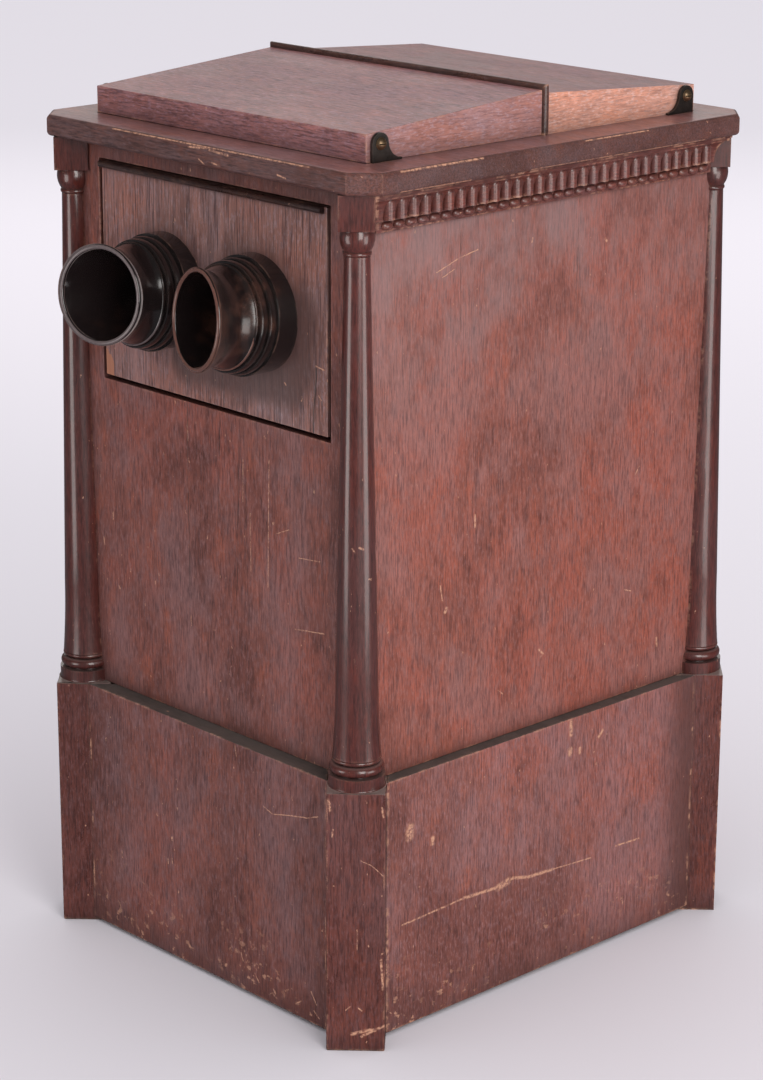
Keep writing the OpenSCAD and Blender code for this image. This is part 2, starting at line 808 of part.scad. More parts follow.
module eyepiece_panel() {
    color(mahogany) in_case() difference() {
        box([-panel_w / 2, panel_y, panel_low], [panel_w / 2, panel_back, panel_top]);
        for (side = [-1, 1])
            translate([side * lens_x, panel_y - 1, lens_z])
                rotate([-90, 0, 0])
                    cylinder(h = board_t + 2, d = spigot_d + 2 * run_clear);
    }
}

module panel_bead() {
    r = panel_bead_h / 2;
    color(dark_mahogany) in_case() along_x(-panel_w / 2, panel_w / 2 - panel_gap)
        translate([panel_y, panel_top - r])
            difference() {
                union() {
                    translate([r - panel_bead_out, 0]) circle(r);
                    translate([r - panel_bead_out, -r]) square([panel_bead_out - r, 2 * r]);
                }
                translate([0, -2 * r]) square(4 * r);
            }
}

module focus_runners() {
    color(bare_wood) in_case() for (side = [-1, 1])
        box([side > 0 ? runner_x : -panel_w / 2, panel_back, lens_z - runner_h / 2],
            [side > 0 ? panel_w / 2 : -runner_x, panel_back + runner_len, lens_z + runner_h / 2]);
}

// Channel on a side board in which a runner slides
module panel_guide(side) {
    half = runner_h / 2 + move_clear;
    guide_back = panel_back + guide_len;
    color(bare_wood) in_case() mirror([side > 0 ? 0 : 1, 0, 0]) difference() {
        box([runner_x, panel_back, lens_z - half - guide_lip],
            [in_w, guide_back, lens_z + half + guide_lip]);
        box([runner_x - 1, panel_back - 1, lens_z - half], [guide_x, guide_back + 1, lens_z + half]);
    }
}

module left_guide() panel_guide(-1);
module right_guide() panel_guide(1);

module septum() {
    color(dark_mahogany) in_case()
        box([-septum_t / 2, panel_back, lens_z - septum_h / 2],
            [septum_t / 2, panel_back + septum_len, lens_z + septum_h / 2]);
}

// Eyecups

// Shallow round of a ring, and the groove that follows it
function band(d, low, high) = [for (a = [-90 : 30 : 90])
    [d / 2 - ring_rise * (1 - cos(a)), (low + high) / 2 + (high - low) / 2 * sin(a)]];
function groove(d, low) = let (r = d / 2 - ring_rise - ring_groove) [[r, low], [r, low + ring_quirk]];

// Turned outline in radius and distance from the panel, from inside the drum to the longest side of the mouth
cup_outline = concat(
    [[0, drum_t - ring_sunk], [ring_one_d / 2 - ring_rise, drum_t - ring_sunk]],
    band(ring_one_d, ring_one_z, ring_one_z + ring_one_h),
    groove(ring_two_d, ring_one_z + ring_one_h),
    band(ring_two_d, ring_two_z, ring_two_z + ring_two_h),
    groove(ring_three_d, ring_two_z + ring_two_h),
    band(ring_three_d, ring_three_z, rings_end),
    [for (i = [1 : cup_steps]) let (d = rings_end + (cup_far - rings_end) * i / cup_steps) [cup_r(d), d]],
    [[0, cup_far]]
);

// The axis of a lens, with the distance from the panel's face as its third coordinate
module at_lens(side) {
    in_case() translate([side * lens_x, panel_y, lens_z]) rotate([90, 0, 0]) children();
}

// The part of an eyecup that looks up
module lifted() {
    translate([0, 0, lift_at]) rotate([-cup_lift, 0, 0]) translate([0, 0, -lift_at]) children();
}

// Everything farther out than a given distance
module beyond(d) {
    translate([-drum_d, -drum_d, d]) cube(2 * drum_d);
}

module cup_drum() {
    translate([0, 0, -board_t]) cylinder(h = board_t + 1, d = spigot_d);
    difference() {
        cylinder(h = drum_t + drum_d / 2 * tan(cup_lift) + 2, d = drum_d);
        lifted() beyond(drum_t + drum_lap);
    }
}

module cup_body(side) {
    difference() {
        rotate_extrude() polygon(cup_outline);
        translate([0, 0, cup_len]) rotate([0, -side * cup_tilt, 0]) beyond(0);
    }
}

module cup_bore() {
    translate([0, 0, -board_t - 1]) cylinder(h = board_t + 1, r = lens_r + run_clear);
    translate([0, 0, -1]) cylinder(h = web_t + 2, r = seat_r);
    translate([0, 0, web_t]) cylinder(h = throat_end - web_t, r = throat_r);
    lifted() translate([0, 0, bore_start])
        cylinder(h = cup_far + 1 - bore_start, r1 = bore_r(bore_start), r2 = bore_r(cup_far + 1));
}

module eyecup(side) {
    color(ebonised) at_lens(side) {
        difference() {
            union() {
                cup_drum();
                lifted() cup_body(side);
            }
            cup_bore();
        }
        lifted() translate([side * lip_shift, 0, lip_z]) rotate([0, -side * cup_tilt, 0])
            rotate_extrude()
                translate([lip_ring_r, 0])
                    circle(d = lip_t);
    }
}

module left_eyecup() eyecup(-1);
module right_eyecup() eyecup(1);

// Biconvex lens, set back by a small step behind its seat
lens_back = 0.6;
lens_sag = (lens_t - lens_edge) / 2;
lens_curve_r = (lens_r * lens_r + lens_sag * lens_sag) / (2 * lens_sag);
lens_arc = asin(lens_r / lens_curve_r);

module lens(side) {
    outline = concat(
        [[0, -lens_t / 2]],
        arc(0, lens_curve_r - lens_t / 2, lens_curve_r, -90 + lens_arc / 8, -90 + lens_arc, 7),
        arc(0, lens_t / 2 - lens_curve_r, lens_curve_r, 90 - lens_arc, 90 - lens_arc / 8, 7),
        [[0, lens_t / 2]]
    );
    color(glass) at_lens(side)
        translate([0, 0, -lens_back - lens_edge / 2])
            rotate_extrude()
                polygon(outline);
}

module left_lens() lens(-1);
module right_lens() lens(1);

module lens_ring(side) {
    color(brass) at_lens(side)
        translate([0, 0, -2 * lens_back - lens_edge - lens_ring_len])
            difference() {
                cylinder(h = lens_ring_len, r = lens_r);
                translate([0, 0, -1]) cylinder(h = lens_ring_len + 2, r = seat_r);
            }
}

module left_lens_ring() lens_ring(-1);
module right_lens_ring() lens_ring(1);

// Card reel

module bearing(side) {
    color(brass) in_case() mirror([side > 0 ? 0 : 1, 0, 0]) difference() {
        union() {
            rod(in_w - bearing_t, in_w, reel_y, reel_z, bearing_d / 2);
            rod(in_w - bearing_t - boss_len, in_w - bearing_t, reel_y, reel_z, boss_d / 2);
        }
        rod(in_w - bearing_t - boss_len - 1, in_w + 1, reel_y, reel_z, axle_r + run_clear);
    }
}

module left_bearing() bearing(-1);
module right_bearing() bearing(1);

module axle() {
    color(brass) in_case() rod(axle_left, axle_right, reel_y, reel_z, axle_r);
}

module card_roller() {
    color(bare_wood) in_case() difference() {
        rod(-roller_len / 2, roller_len / 2, reel_y, reel_z, roller_d / 2);
        rod(-roller_len / 2 - 1, roller_len / 2 + 1, reel_y, reel_z, axle_r);
    }
}

module turning_knob() {
    neck_r = knob_neck_d / 2;
    edge_r = knob_d / 2 - knob_round;
    outline = concat(
        [[0, 0], [neck_r, 0], [neck_r, knob_round]],
        arc(edge_r, 2 * knob_round, knob_round, -90, 0, 6),
        arc(edge_r, knob_len - knob_round, knob_round, 0, 90, 6),
        [[0, knob_len]]
    );
    color(ebonised) in_case() difference() {
        translate([-half_w - move_clear, reel_y, reel_z])
            rotate([0, -90, 0])
                rotate_extrude()
                    polygon(outline);
        rod(axle_left, 0, reel_y, reel_z, axle_r);
    }
}

// Loop that hangs from the roller, as a solid of the given radius and width
module belt_loop(r, x_low, x_high) {
    rod(x_low, x_high, reel_y, reel_z, r);
    rod(x_low, x_high, reel_y, loop_z, r);
    box([x_low, reel_y - r, loop_z], [x_high, reel_y + r, reel_z]);
}

module card_belt() {
    color(tape_cream) in_case() for (x = [-tape_pitch / 2, tape_pitch / 2])
        difference() {
            belt_loop(tape_r + tape_t, x - tape_w / 2, x + tape_w / 2);
            belt_loop(tape_r, x - tape_w / 2 - 1, x + tape_w / 2 + 1);
        }
}

// One place on the belt upright on the roller, then the same number down the front and the back
module each_card() {
    translate([0, reel_y, reel_z]) children();
    for (i = [0 : cards_a_side - 1], turn = [-90, 90])
        translate([0, reel_y, reel_z - i * card_pitch]) rotate([turn, 0, 0]) children();
}

module card_holders() {
    color(brass) in_case() each_card() difference() {
        box([-holder_w / 2, -holder_t / 2, holder_r], [holder_w / 2, holder_t / 2, holder_r + holder_h]);
        box([-holder_w, -card_t / 2, card_r], [holder_w, card_t / 2, holder_r + holder_h + 1]);
    }
}

module stereo_cards() {
    color(card_grey) in_case() each_card()
        box([-card_w / 2, -card_t / 2, card_r], [card_w / 2, card_t / 2, card_r + card_h]);
}

post_front_left();
post_front_right();
post_rear_left();
post_rear_right();
plinth_front();
plinth_rear();
plinth_left();
plinth_right();
bottom_board();
front_board();
back_board();
left_side_board();
right_side_board();
top_board();
left_cornice();
right_cornice();
front_lid_ears();
rear_lid_ears();
left_guide();
right_guide();
left_bearing();
right_bearing();
card_belt();
card_holders();
stereo_cards();
front_lid();
ridge_strip();
light_mirror();
mirror_fillets();
front_pivot_screws();
rear_lid();
rear_pivot_screws();
eyepiece_panel();
panel_bead();
focus_runners();
septum();
left_eyecup();
right_eyecup();
left_lens();
right_lens();
left_lens_ring();
right_lens_ring();
axle();
card_roller();
turning_knob();
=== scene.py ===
"""Looks of a table-top cabinet stereoscope: eased and worn wood, turned eyecups, brass and cards."""

import json
from math import cos, pi, radians, sin, sqrt

import bmesh
import bpy
from bpy.props import FloatProperty, FloatVectorProperty, PointerProperty
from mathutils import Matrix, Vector

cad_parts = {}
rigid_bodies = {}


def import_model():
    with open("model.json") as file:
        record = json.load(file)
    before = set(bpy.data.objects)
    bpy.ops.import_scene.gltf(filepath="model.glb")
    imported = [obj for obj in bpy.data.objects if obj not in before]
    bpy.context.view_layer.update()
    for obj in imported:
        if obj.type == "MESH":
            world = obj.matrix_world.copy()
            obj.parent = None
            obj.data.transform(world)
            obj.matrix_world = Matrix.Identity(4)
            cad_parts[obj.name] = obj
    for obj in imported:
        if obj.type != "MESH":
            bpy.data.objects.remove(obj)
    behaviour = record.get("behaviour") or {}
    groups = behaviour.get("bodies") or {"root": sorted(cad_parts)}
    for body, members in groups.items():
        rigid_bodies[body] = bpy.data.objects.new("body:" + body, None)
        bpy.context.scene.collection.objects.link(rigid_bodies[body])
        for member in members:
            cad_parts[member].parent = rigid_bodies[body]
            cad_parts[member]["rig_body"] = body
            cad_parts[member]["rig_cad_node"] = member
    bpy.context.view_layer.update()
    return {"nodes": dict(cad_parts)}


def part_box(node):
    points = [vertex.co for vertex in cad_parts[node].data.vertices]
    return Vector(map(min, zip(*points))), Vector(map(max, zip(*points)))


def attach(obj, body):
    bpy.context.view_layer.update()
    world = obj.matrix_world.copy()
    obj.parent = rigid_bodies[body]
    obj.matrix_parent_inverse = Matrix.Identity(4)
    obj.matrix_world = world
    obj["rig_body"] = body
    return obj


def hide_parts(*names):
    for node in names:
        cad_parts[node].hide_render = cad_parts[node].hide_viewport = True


bl_info = {
    "name": "Cabinet Stereoscope",
    "version": (1, 0, 0),
    "blender": (4, 5, 0),
    "location": "View3D > Sidebar > Stereoscope",
    "description": "Dresses the solids of a cabinet stereoscope with eased edges, finishes and wear",
    "category": "Object",
}

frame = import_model()

MM = 0.001
MERGE = 1e-6
FLAT_ANGLE = radians(0.2)
SHARP_ANGLE = radians(38)
SMOOTH_ANGLE = radians(32)
CRISP_ANGLE = radians(20)

# Planes and levels of the case, from the frame
CASE_LOW, CASE_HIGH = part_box("right_side_board")
FRONT_Y, BACK_Y = CASE_LOW.y, CASE_HIGH.y
CASE_Y = (FRONT_Y + BACK_Y) / 2
SIDE_X = CASE_HIGH.x
LEDGE_Z = CASE_LOW.z
MIDDLE_Z = (CASE_LOW.z + CASE_HIGH.z) / 2
PLINTH_SIDE_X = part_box("plinth_right")[1].x
PLINTH_FRONT_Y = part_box("plinth_front")[0].y
POST_LOW, POST_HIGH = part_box("post_front_right")
POST_MIDDLE = (POST_LOW + POST_HIGH) / 2
LENS = sum(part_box("left_lens"), Vector()) / 2
RIM_Y = FRONT_Y - 24 * MM

POSTS = ("post_front_left", "post_front_right", "post_rear_left", "post_rear_right")
PLINTHS = ("plinth_front", "plinth_rear", "plinth_left", "plinth_right")
ALONG_X, ALONG_Y, ALONG_Z = 0, 1, 2
COLUMN_R = 9.5 * MM
COAT_ROUGHNESS = 0.14
SCUFF_HEIGHT = 60 * MM
FIBRE_DEPTH = 0.03 * MM
THREAD = 0.9 * MM
CARD_LEAST_HEIGHT = 10 * MM

# Stage, in metres
SENSOR_WIDTH = 36
LAMP_AIM = Vector((0, 0, 0.25))
LAMP_TINT = (1.0, 0.975, 0.95)
KEY_PLACE, KEY_SIZE, KEY_SPREAD = (1.55, -0.62, 0.78), (0.7, 1.4), radians(165)
STRIP_PLACES = {"left_strip": (-0.12, -0.85, 0.22), "right_strip": (0.80, 0.10, 0.22)}
STRIP_SIZE = (0.34, 0.44)
BACK_PLACE, BACK_SIZE = (-1.60, 1.50, 1.15), (2.0, 1.0)
FLOOR_SIZE = 40
AWAY = (-0.72, 0.69, 0)
ROOM_TINT, BACKDROP_TINT = (1, 0.99, 1), (0.77, 0.75, 0.80)


# Settings

def length(name, description, default):
    return FloatProperty(name=name, description=description, default=default, unit="LENGTH", precision=5)


def colour(name, description, default):
    return FloatVectorProperty(name=name, description=description, default=default, subtype="COLOR",
                               size=3, min=0, max=1)


class StereoscopeSizes(bpy.types.PropertyGroup):
    """Sizes of the eased edges and of the wear"""
    board_edge: length("Board edge", "Width of the eased edges of the case boards", 0.6 * MM)
    foot_edge: length("Foot edge", "Width of the eased edges of the foot blocks", 0.9 * MM)
    lid_edge: length("Lid edge", "Width of the eased edges of the lids", 0.7 * MM)
    metal_edge: length("Metal edge", "Width of the eased edges of the ears", 0.25 * MM)
    wear_reach: length("Wear reach", "Reach of the rubbed wood in from an edge", 1.6 * MM)
    dust_reach: length("Dust reach", "Reach of the dust out of a joint", 2.4 * MM)
    # The corners darken over this reach: partly grime, partly painted shade
    corner_darkening_reach: length("Dirt reach", "Reach of the dirt out of a corner", 16 * MM)


class StereoscopeColours(bpy.types.PropertyGroup):
    """Colours of the finishes"""
    middle: colour("Mahogany", "Body colour of the varnished wood", (0.262, 0.090, 0.070))
    turned: colour("Turned wood", "Body colour of the posts and carvings", (0.094, 0.021, 0.017))
    # The front board and front plinth are darker than the right plinth: partly their own tone, partly painted
    # shade on the front and painted light on the right
    front_board: colour("Front board", "Body colour of the front board", (0.226, 0.086, 0.073))
    plinth_front: colour("Front plinth", "Body colour of the front plinth board", (0.206, 0.083, 0.074))
    plinth_right: colour("Right plinth", "Body colour of the right plinth board", (0.256, 0.102, 0.090))
    # Nearly black top of the plinth boards: dirt and a painted shade
    dirty_shaded_ledge: colour("Ledge", "Dirty top of the plinth boards", (0.040, 0.026, 0.022))
    foot: colour("Foot blocks", "Body colour of the foot blocks", (0.138, 0.047, 0.041))
    # The upper face is lighter than the edge of the top board: a painted sheen on its own tone
    lit_top_face: colour("Top board", "Body colour of the top board's upper face", (0.285, 0.136, 0.131))
    top_edge: colour("Top board's edge", "Body colour of the top board's edge", (0.128, 0.060, 0.055))
    # The lids' body is partly their own tone and partly a painted sheen, which makes it paler and greyer
    lid: colour("Lids", "Body colour of the lids", (0.336, 0.162, 0.176))
    lid_end: colour("Front lid's end", "Faded right end of the front lid", (0.420, 0.225, 0.220))
    lid_end_bare: colour("Rear lid's end", "Bald right end of the rear lid", (0.68, 0.37, 0.295))
    ridge: colour("Ridge strip", "Body colour of the ridge strip", (0.085, 0.044, 0.040))
    panel: colour("Panel", "Body colour of the eyepiece panel", (0.280, 0.150, 0.136))
    bead: colour("Bead", "Body colour of the bead on the panel", (0.045, 0.022, 0.020))
    bare: colour("Bare wood", "Wood where the varnish is gone", (0.64, 0.32, 0.20))
    ebony: colour("Ebonised wood", "Black stain of the eyecups", (0.009, 0.006, 0.006))
    ebony_worn: colour("Worn ebonising", "Brown that shows through the black stain", (0.10, 0.040, 0.026))
    # The pale edges and the left rim's grey are rubbed wear and a painted highlight
    ebony_edge_wear_and_highlight: colour("Thin ebonising", "Pale wood on the edges of the eyecups", (0.22, 0.125, 0.095))
    left_rim_wear_and_highlight: colour("Left rim", "Rubbed rim of the left eyecup", (0.110, 0.085, 0.085))
    right_rim: colour("Right rim", "Rubbed rim of the right eyecup", (0.125, 0.055, 0.042))
    # Painted sheen near the top of the upper case
    painted_top_sheen: colour("Bloom", "Clouded old varnish", (0.26, 0.19, 0.19))
    inner: colour("Inner wood", "Unfinished wood inside the case", (0.36, 0.22, 0.12))
    dust: colour("Dust", "Dust on what faces up", (0.30, 0.26, 0.24))
    bronze: colour("Bronze", "Dark metal of the ears", (0.10, 0.088, 0.080))
    brass: colour("Brass", "Old brass", (0.30, 0.20, 0.12))
    tin: colour("Tin", "Metal of the card holders", (0.30, 0.29, 0.27))
    mount: colour("Card mount", "Board of the stereo cards", (0.50, 0.34, 0.17))
    print_light: colour("Print light", "Pale tone of the card pictures", (0.62, 0.52, 0.38))
    print_dark: colour("Print dark", "Dark tone of the card pictures", (0.10, 0.065, 0.040))
    tape: colour("Tape", "Woven tapes of the belt", (0.42, 0.35, 0.24))
    floor: colour("Floor", "Floor and backdrop", (0.84, 0.81, 0.87))


class StereoscopeStage(bpy.types.PropertyGroup):
    """Camera and light"""
    eye: FloatVectorProperty(name="Eye", description="Place of the camera", unit="LENGTH",
                             default=(1.12711, -1.05855, 0.69874))
    aim: FloatVectorProperty(name="Aim", description="Point that the camera looks at", unit="LENGTH",
                             default=(-0.00444, 0.00910, 0.21476))
    roll: FloatProperty(name="Roll", description="Turn of the camera about its own axis",
                        default=radians(0.2), subtype="ANGLE")
    lens: FloatProperty(name="Lens", description="Focal length for a 36 mm frame", default=100)
    key_power: FloatProperty(name="Key light", description="Power of the large lamp at the right", default=13.2,
                             unit="POWER")
    strip_power: FloatProperty(name="Strip light", description="Power of each low lamp, seen in gloss only",
                               default=1.4, unit="POWER")
    back_power: FloatProperty(name="Back light", description="Power of the lamp behind, for sheen on the lids",
                              default=5, unit="POWER")
    room_light: FloatProperty(name="Room light", description="Strength of the even light", default=0.84)
    room_glow: FloatProperty(name="Room glow", description="Strength of the room in reflections", default=0.08)


# Modelling

def select_only(*pieces):
    bpy.ops.object.select_all(action="DESELECT")
    for piece in pieces:
        piece.select_set(True)
    bpy.context.view_layer.objects.active = pieces[0]


def edit(piece, kind="EDGE"):
    select_only(piece)
    bpy.ops.object.mode_set(mode="EDIT")
    bpy.ops.mesh.select_mode(type=kind)


def done():
    bpy.ops.object.mode_set(mode="OBJECT")


def copy_of(node):
    """Copy of a node with its triangles merged, which stands for the node."""
    source = frame["nodes"][node]
    select_only(source)
    bpy.ops.object.duplicate()
    piece = bpy.context.active_object
    piece.name = piece.data.name = node + "_finished"
    del piece["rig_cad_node"]
    bpy.ops.mesh.customdata_custom_splitnormals_clear()
    edit(piece)
    bpy.ops.mesh.select_all(action="SELECT")
    bpy.ops.mesh.remove_doubles(threshold=MERGE)
    bpy.ops.mesh.dissolve_limited(angle_limit=FLAT_ANGLE)
    done()
    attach(piece, source["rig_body"])
    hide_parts(node)
    return piece


def ease(piece, width, segments=2, where=None):
    """Rounds the sharp edges whose middle passes the test."""
    edit(piece)
    bpy.ops.mesh.select_all(action="DESELECT")
    shape = bmesh.from_edit_mesh(piece.data)
    for edge in shape.edges:
        middle = (edge.verts[0].co + edge.verts[1].co) / 2
        sharp = edge.is_manifold and edge.calc_face_angle() > SHARP_ANGLE
        edge.select_set(sharp and (where is None or where(middle)))
    bmesh.update_edit_mesh(piece.data)
    bpy.ops.mesh.bevel(offset=width, segments=segments, profile=0.5, affect="EDGES", clamp_overlap=True)
    done()


def smooth(piece, angle=SMOOTH_ANGLE):
    select_only(piece)
    bpy.ops.object.shade_smooth_by_angle(angle=angle)
    weighted = piece.modifiers.new("Even shading", "WEIGHTED_NORMAL")
    weighted.keep_sharp = True
    bpy.ops.object.modifier_apply(modifier=weighted.name)


def paint(piece, finish):
    piece.data.materials.clear()
    piece.data.materials.append(finish)


def paint_faces(piece, finish, test):
    """Another finish on the faces that pass the test."""
    piece.data.materials.append(finish)
    for face in piece.data.polygons:
        if test(face):
            face.material_index = len(piece.data.materials) - 1


def eased_copy(node, finish, width=0, where=None, segments=2):
    """Copy of a node with eased edges and a finish."""
    piece = copy_of(node)
    if width:
        ease(piece, width, segments, where)
    smooth(piece)
    paint(piece, finish)
    return piece


# Finishes

class Nodes:
    """Makes and links the nodes of a tree."""

    def __init__(self, tree):
        self.tree = tree

    def feed(self, socket, value):
        if isinstance(value, bpy.types.NodeSocket):
            self.tree.links.new(value, socket)
        elif socket.type == "RGBA":
            socket.default_value = (*value, 1)
        else:
            socket.default_value = value

    def node(self, kind, *inputs, **settings):
        node = self.tree.nodes.new(kind)
        for name, value in settings.items():
            setattr(node, name, value)
        for socket, value in zip(node.inputs, inputs):
            if value is not None:
                self.feed(socket, value)
        return node

    def math(self, operation, a, b, clamp=False):
        return self.node("ShaderNodeMath", a, b, operation=operation, use_clamp=clamp).outputs[0]

    def times(self, a, b):
        return self.math("MULTIPLY", a, b)

    def vector(self, operation, a, b=(0, 0, 0)):
        node = self.node("ShaderNodeVectorMath", a, b, operation=operation)
        return node.outputs["Value" if operation in ("DOT_PRODUCT", "LENGTH", "DISTANCE") else "Vector"]


class Finish(Nodes):
    """A material under construction, on the coordinates of its piece."""

    def __init__(self, name):
        self.material = bpy.data.materials.new(name)
        self.material.use_nodes = True
        super().__init__(self.material.node_tree)
        self.tree.nodes.clear()
        self.shader = self.node("ShaderNodeBsdfPrincipled")
        self.node("ShaderNodeOutputMaterial", self.shader.outputs["BSDF"])
        self.place = self.node("ShaderNodeTexCoord").outputs["Object"]

    def set(self, **sockets):
        """Feeds the shader's sockets, named with _ for each space."""
        for name, value in sockets.items():
            self.feed(self.shader.inputs[name.replace("_", " ")], value)

    def scaled(self, vector, scale):
        return self.node("ShaderNodeMapping", vector, None, None, scale).outputs[0]

    def noise(self, vector, scale, detail, roughness):
        return self.node("ShaderNodeTexNoise", vector, None, scale, detail, roughness).outputs["Fac"]

    def grain(self, vector, along, ratio, scale, detail, roughness):
        """Noise drawn out along one axis."""
        stretch = tuple(ratio if axis == along else 1.0 for axis in range(3))
        return self.noise(self.scaled(vector, stretch), scale, detail, roughness)

    def warped(self, vector, scale, reach):
        """The vector pushed about by a slow noise, by up to the reach."""
        push = self.node("ShaderNodeTexNoise", vector, None, scale, 2).outputs["Color"]
        push = self.vector("SUBTRACT", push, (0.5, 0.5, 0.5))
        push = self.vector("MULTIPLY", push, (2 * reach,) * 3)
        return self.vector("ADD", vector, push)

    def ramp(self, value, low, high, to_low=0.0, to_high=1.0):
        node = self.node("ShaderNodeMapRange", value, low, high, to_low, to_high,
                         interpolation_type="SMOOTHSTEP")
        return node.outputs[0]

    def mix(self, amount, a, b, blend="MIX"):
        node = self.node("ShaderNodeMix", data_type="RGBA", blend_type=blend)
        for index, value in ((0, amount), (6, a), (7, b)):
            self.feed(node.inputs[index], value)
        return node.outputs[2]

    def shut_in(self, reach, inside):
        node = self.node("ShaderNodeAmbientOcclusion", samples=6, inside=inside, only_local=inside)
        self.feed(node.inputs["Distance"], reach)
        return node.outputs["AO"]

    def edges(self, reach):
        """1 on an edge, falling to 0 at the reach."""
        return self.ramp(self.shut_in(reach, True), 0.90, 0.58)

    def corners(self, reach):
        """1 in a corner, falling to 0 in the open."""
        return self.ramp(self.shut_in(reach, False), 0.92, 0.40)

    def facing_up(self):
        up = self.node("ShaderNodeTexCoord").outputs["Normal"]
        return self.ramp(self.vector("DOT_PRODUCT", up, (0, 0, 1)), 0.6, 0.95)

    def near_top(self):
        """0 at mid height of the upper case, rising to 1 at its top."""
        return self.ramp(self.vector("DOT_PRODUCT", self.place, (0, 0, 1)), MIDDLE_Z, CASE_HIGH.z)

    def near_floor(self):
        """1 at the floor, falling to 0 at the height that feet and brooms reach."""
        return self.ramp(self.vector("DOT_PRODUCT", self.place, (0, 0, 1)), SCUFF_HEIGHT, 0)

    def bump(self, height, depth):
        node = self.node("ShaderNodeBump")
        self.feed(node.inputs["Distance"], depth)
        self.feed(node.inputs["Height"], height)
        return node.outputs[0]

    def marked(self, marks, scale, reach):
        """1 on ragged strokes: each is a width and the points that it runs through."""
        total = 0.0
        place = self.warped(self.place, scale, reach) if marks else None
        for width, *points in marks:
            for start, end in zip(points, points[1:] or points):
                stroke = self.node("ShaderNodeGroup", place, start, end, width, node_tree=stroke_group())
                total = self.math("MAXIMUM", total, stroke.outputs[0])
        return total


def stroke_group():
    """Node group that is 1 within a width of a line between two points."""
    name = "Stroke"
    if name in bpy.data.node_groups:
        return bpy.data.node_groups[name]
    group = bpy.data.node_groups.new(name, "ShaderNodeTree")
    for socket, kind in (("Place", "Vector"), ("Start", "Vector"), ("End", "Vector"), ("Width", "Float")):
        group.interface.new_socket(socket, in_out="INPUT", socket_type="NodeSocket" + kind)
    group.interface.new_socket("Mark", in_out="OUTPUT", socket_type="NodeSocketFloat")
    nodes = Nodes(group)
    given = nodes.node("NodeGroupInput").outputs
    from_start = nodes.vector("SUBTRACT", given["Place"], given["Start"])
    line = nodes.vector("SUBTRACT", given["End"], given["Start"])
    whole = nodes.math("ADD", nodes.vector("DOT_PRODUCT", line, line), 1e-12)
    share = nodes.math("DIVIDE", nodes.vector("DOT_PRODUCT", from_start, line), whole, clamp=True)
    nearest = nodes.node("ShaderNodeVectorMath", line, None, None, share, operation="SCALE").outputs["Vector"]
    ratio = nodes.math("DIVIDE", nodes.vector("DISTANCE", from_start, nearest), given["Width"])
    mark = nodes.math("SUBTRACT", 1.5, nodes.times(ratio, 1.5), clamp=True)
    nodes.node("NodeGroupOutput", mark)
    return group


def toned(tone, *factors):
    """The colour times one factor, or times a factor for each channel."""
    return tuple(min(1, part * factor) for part, factor in zip(tone, factors * (3 // len(factors))))


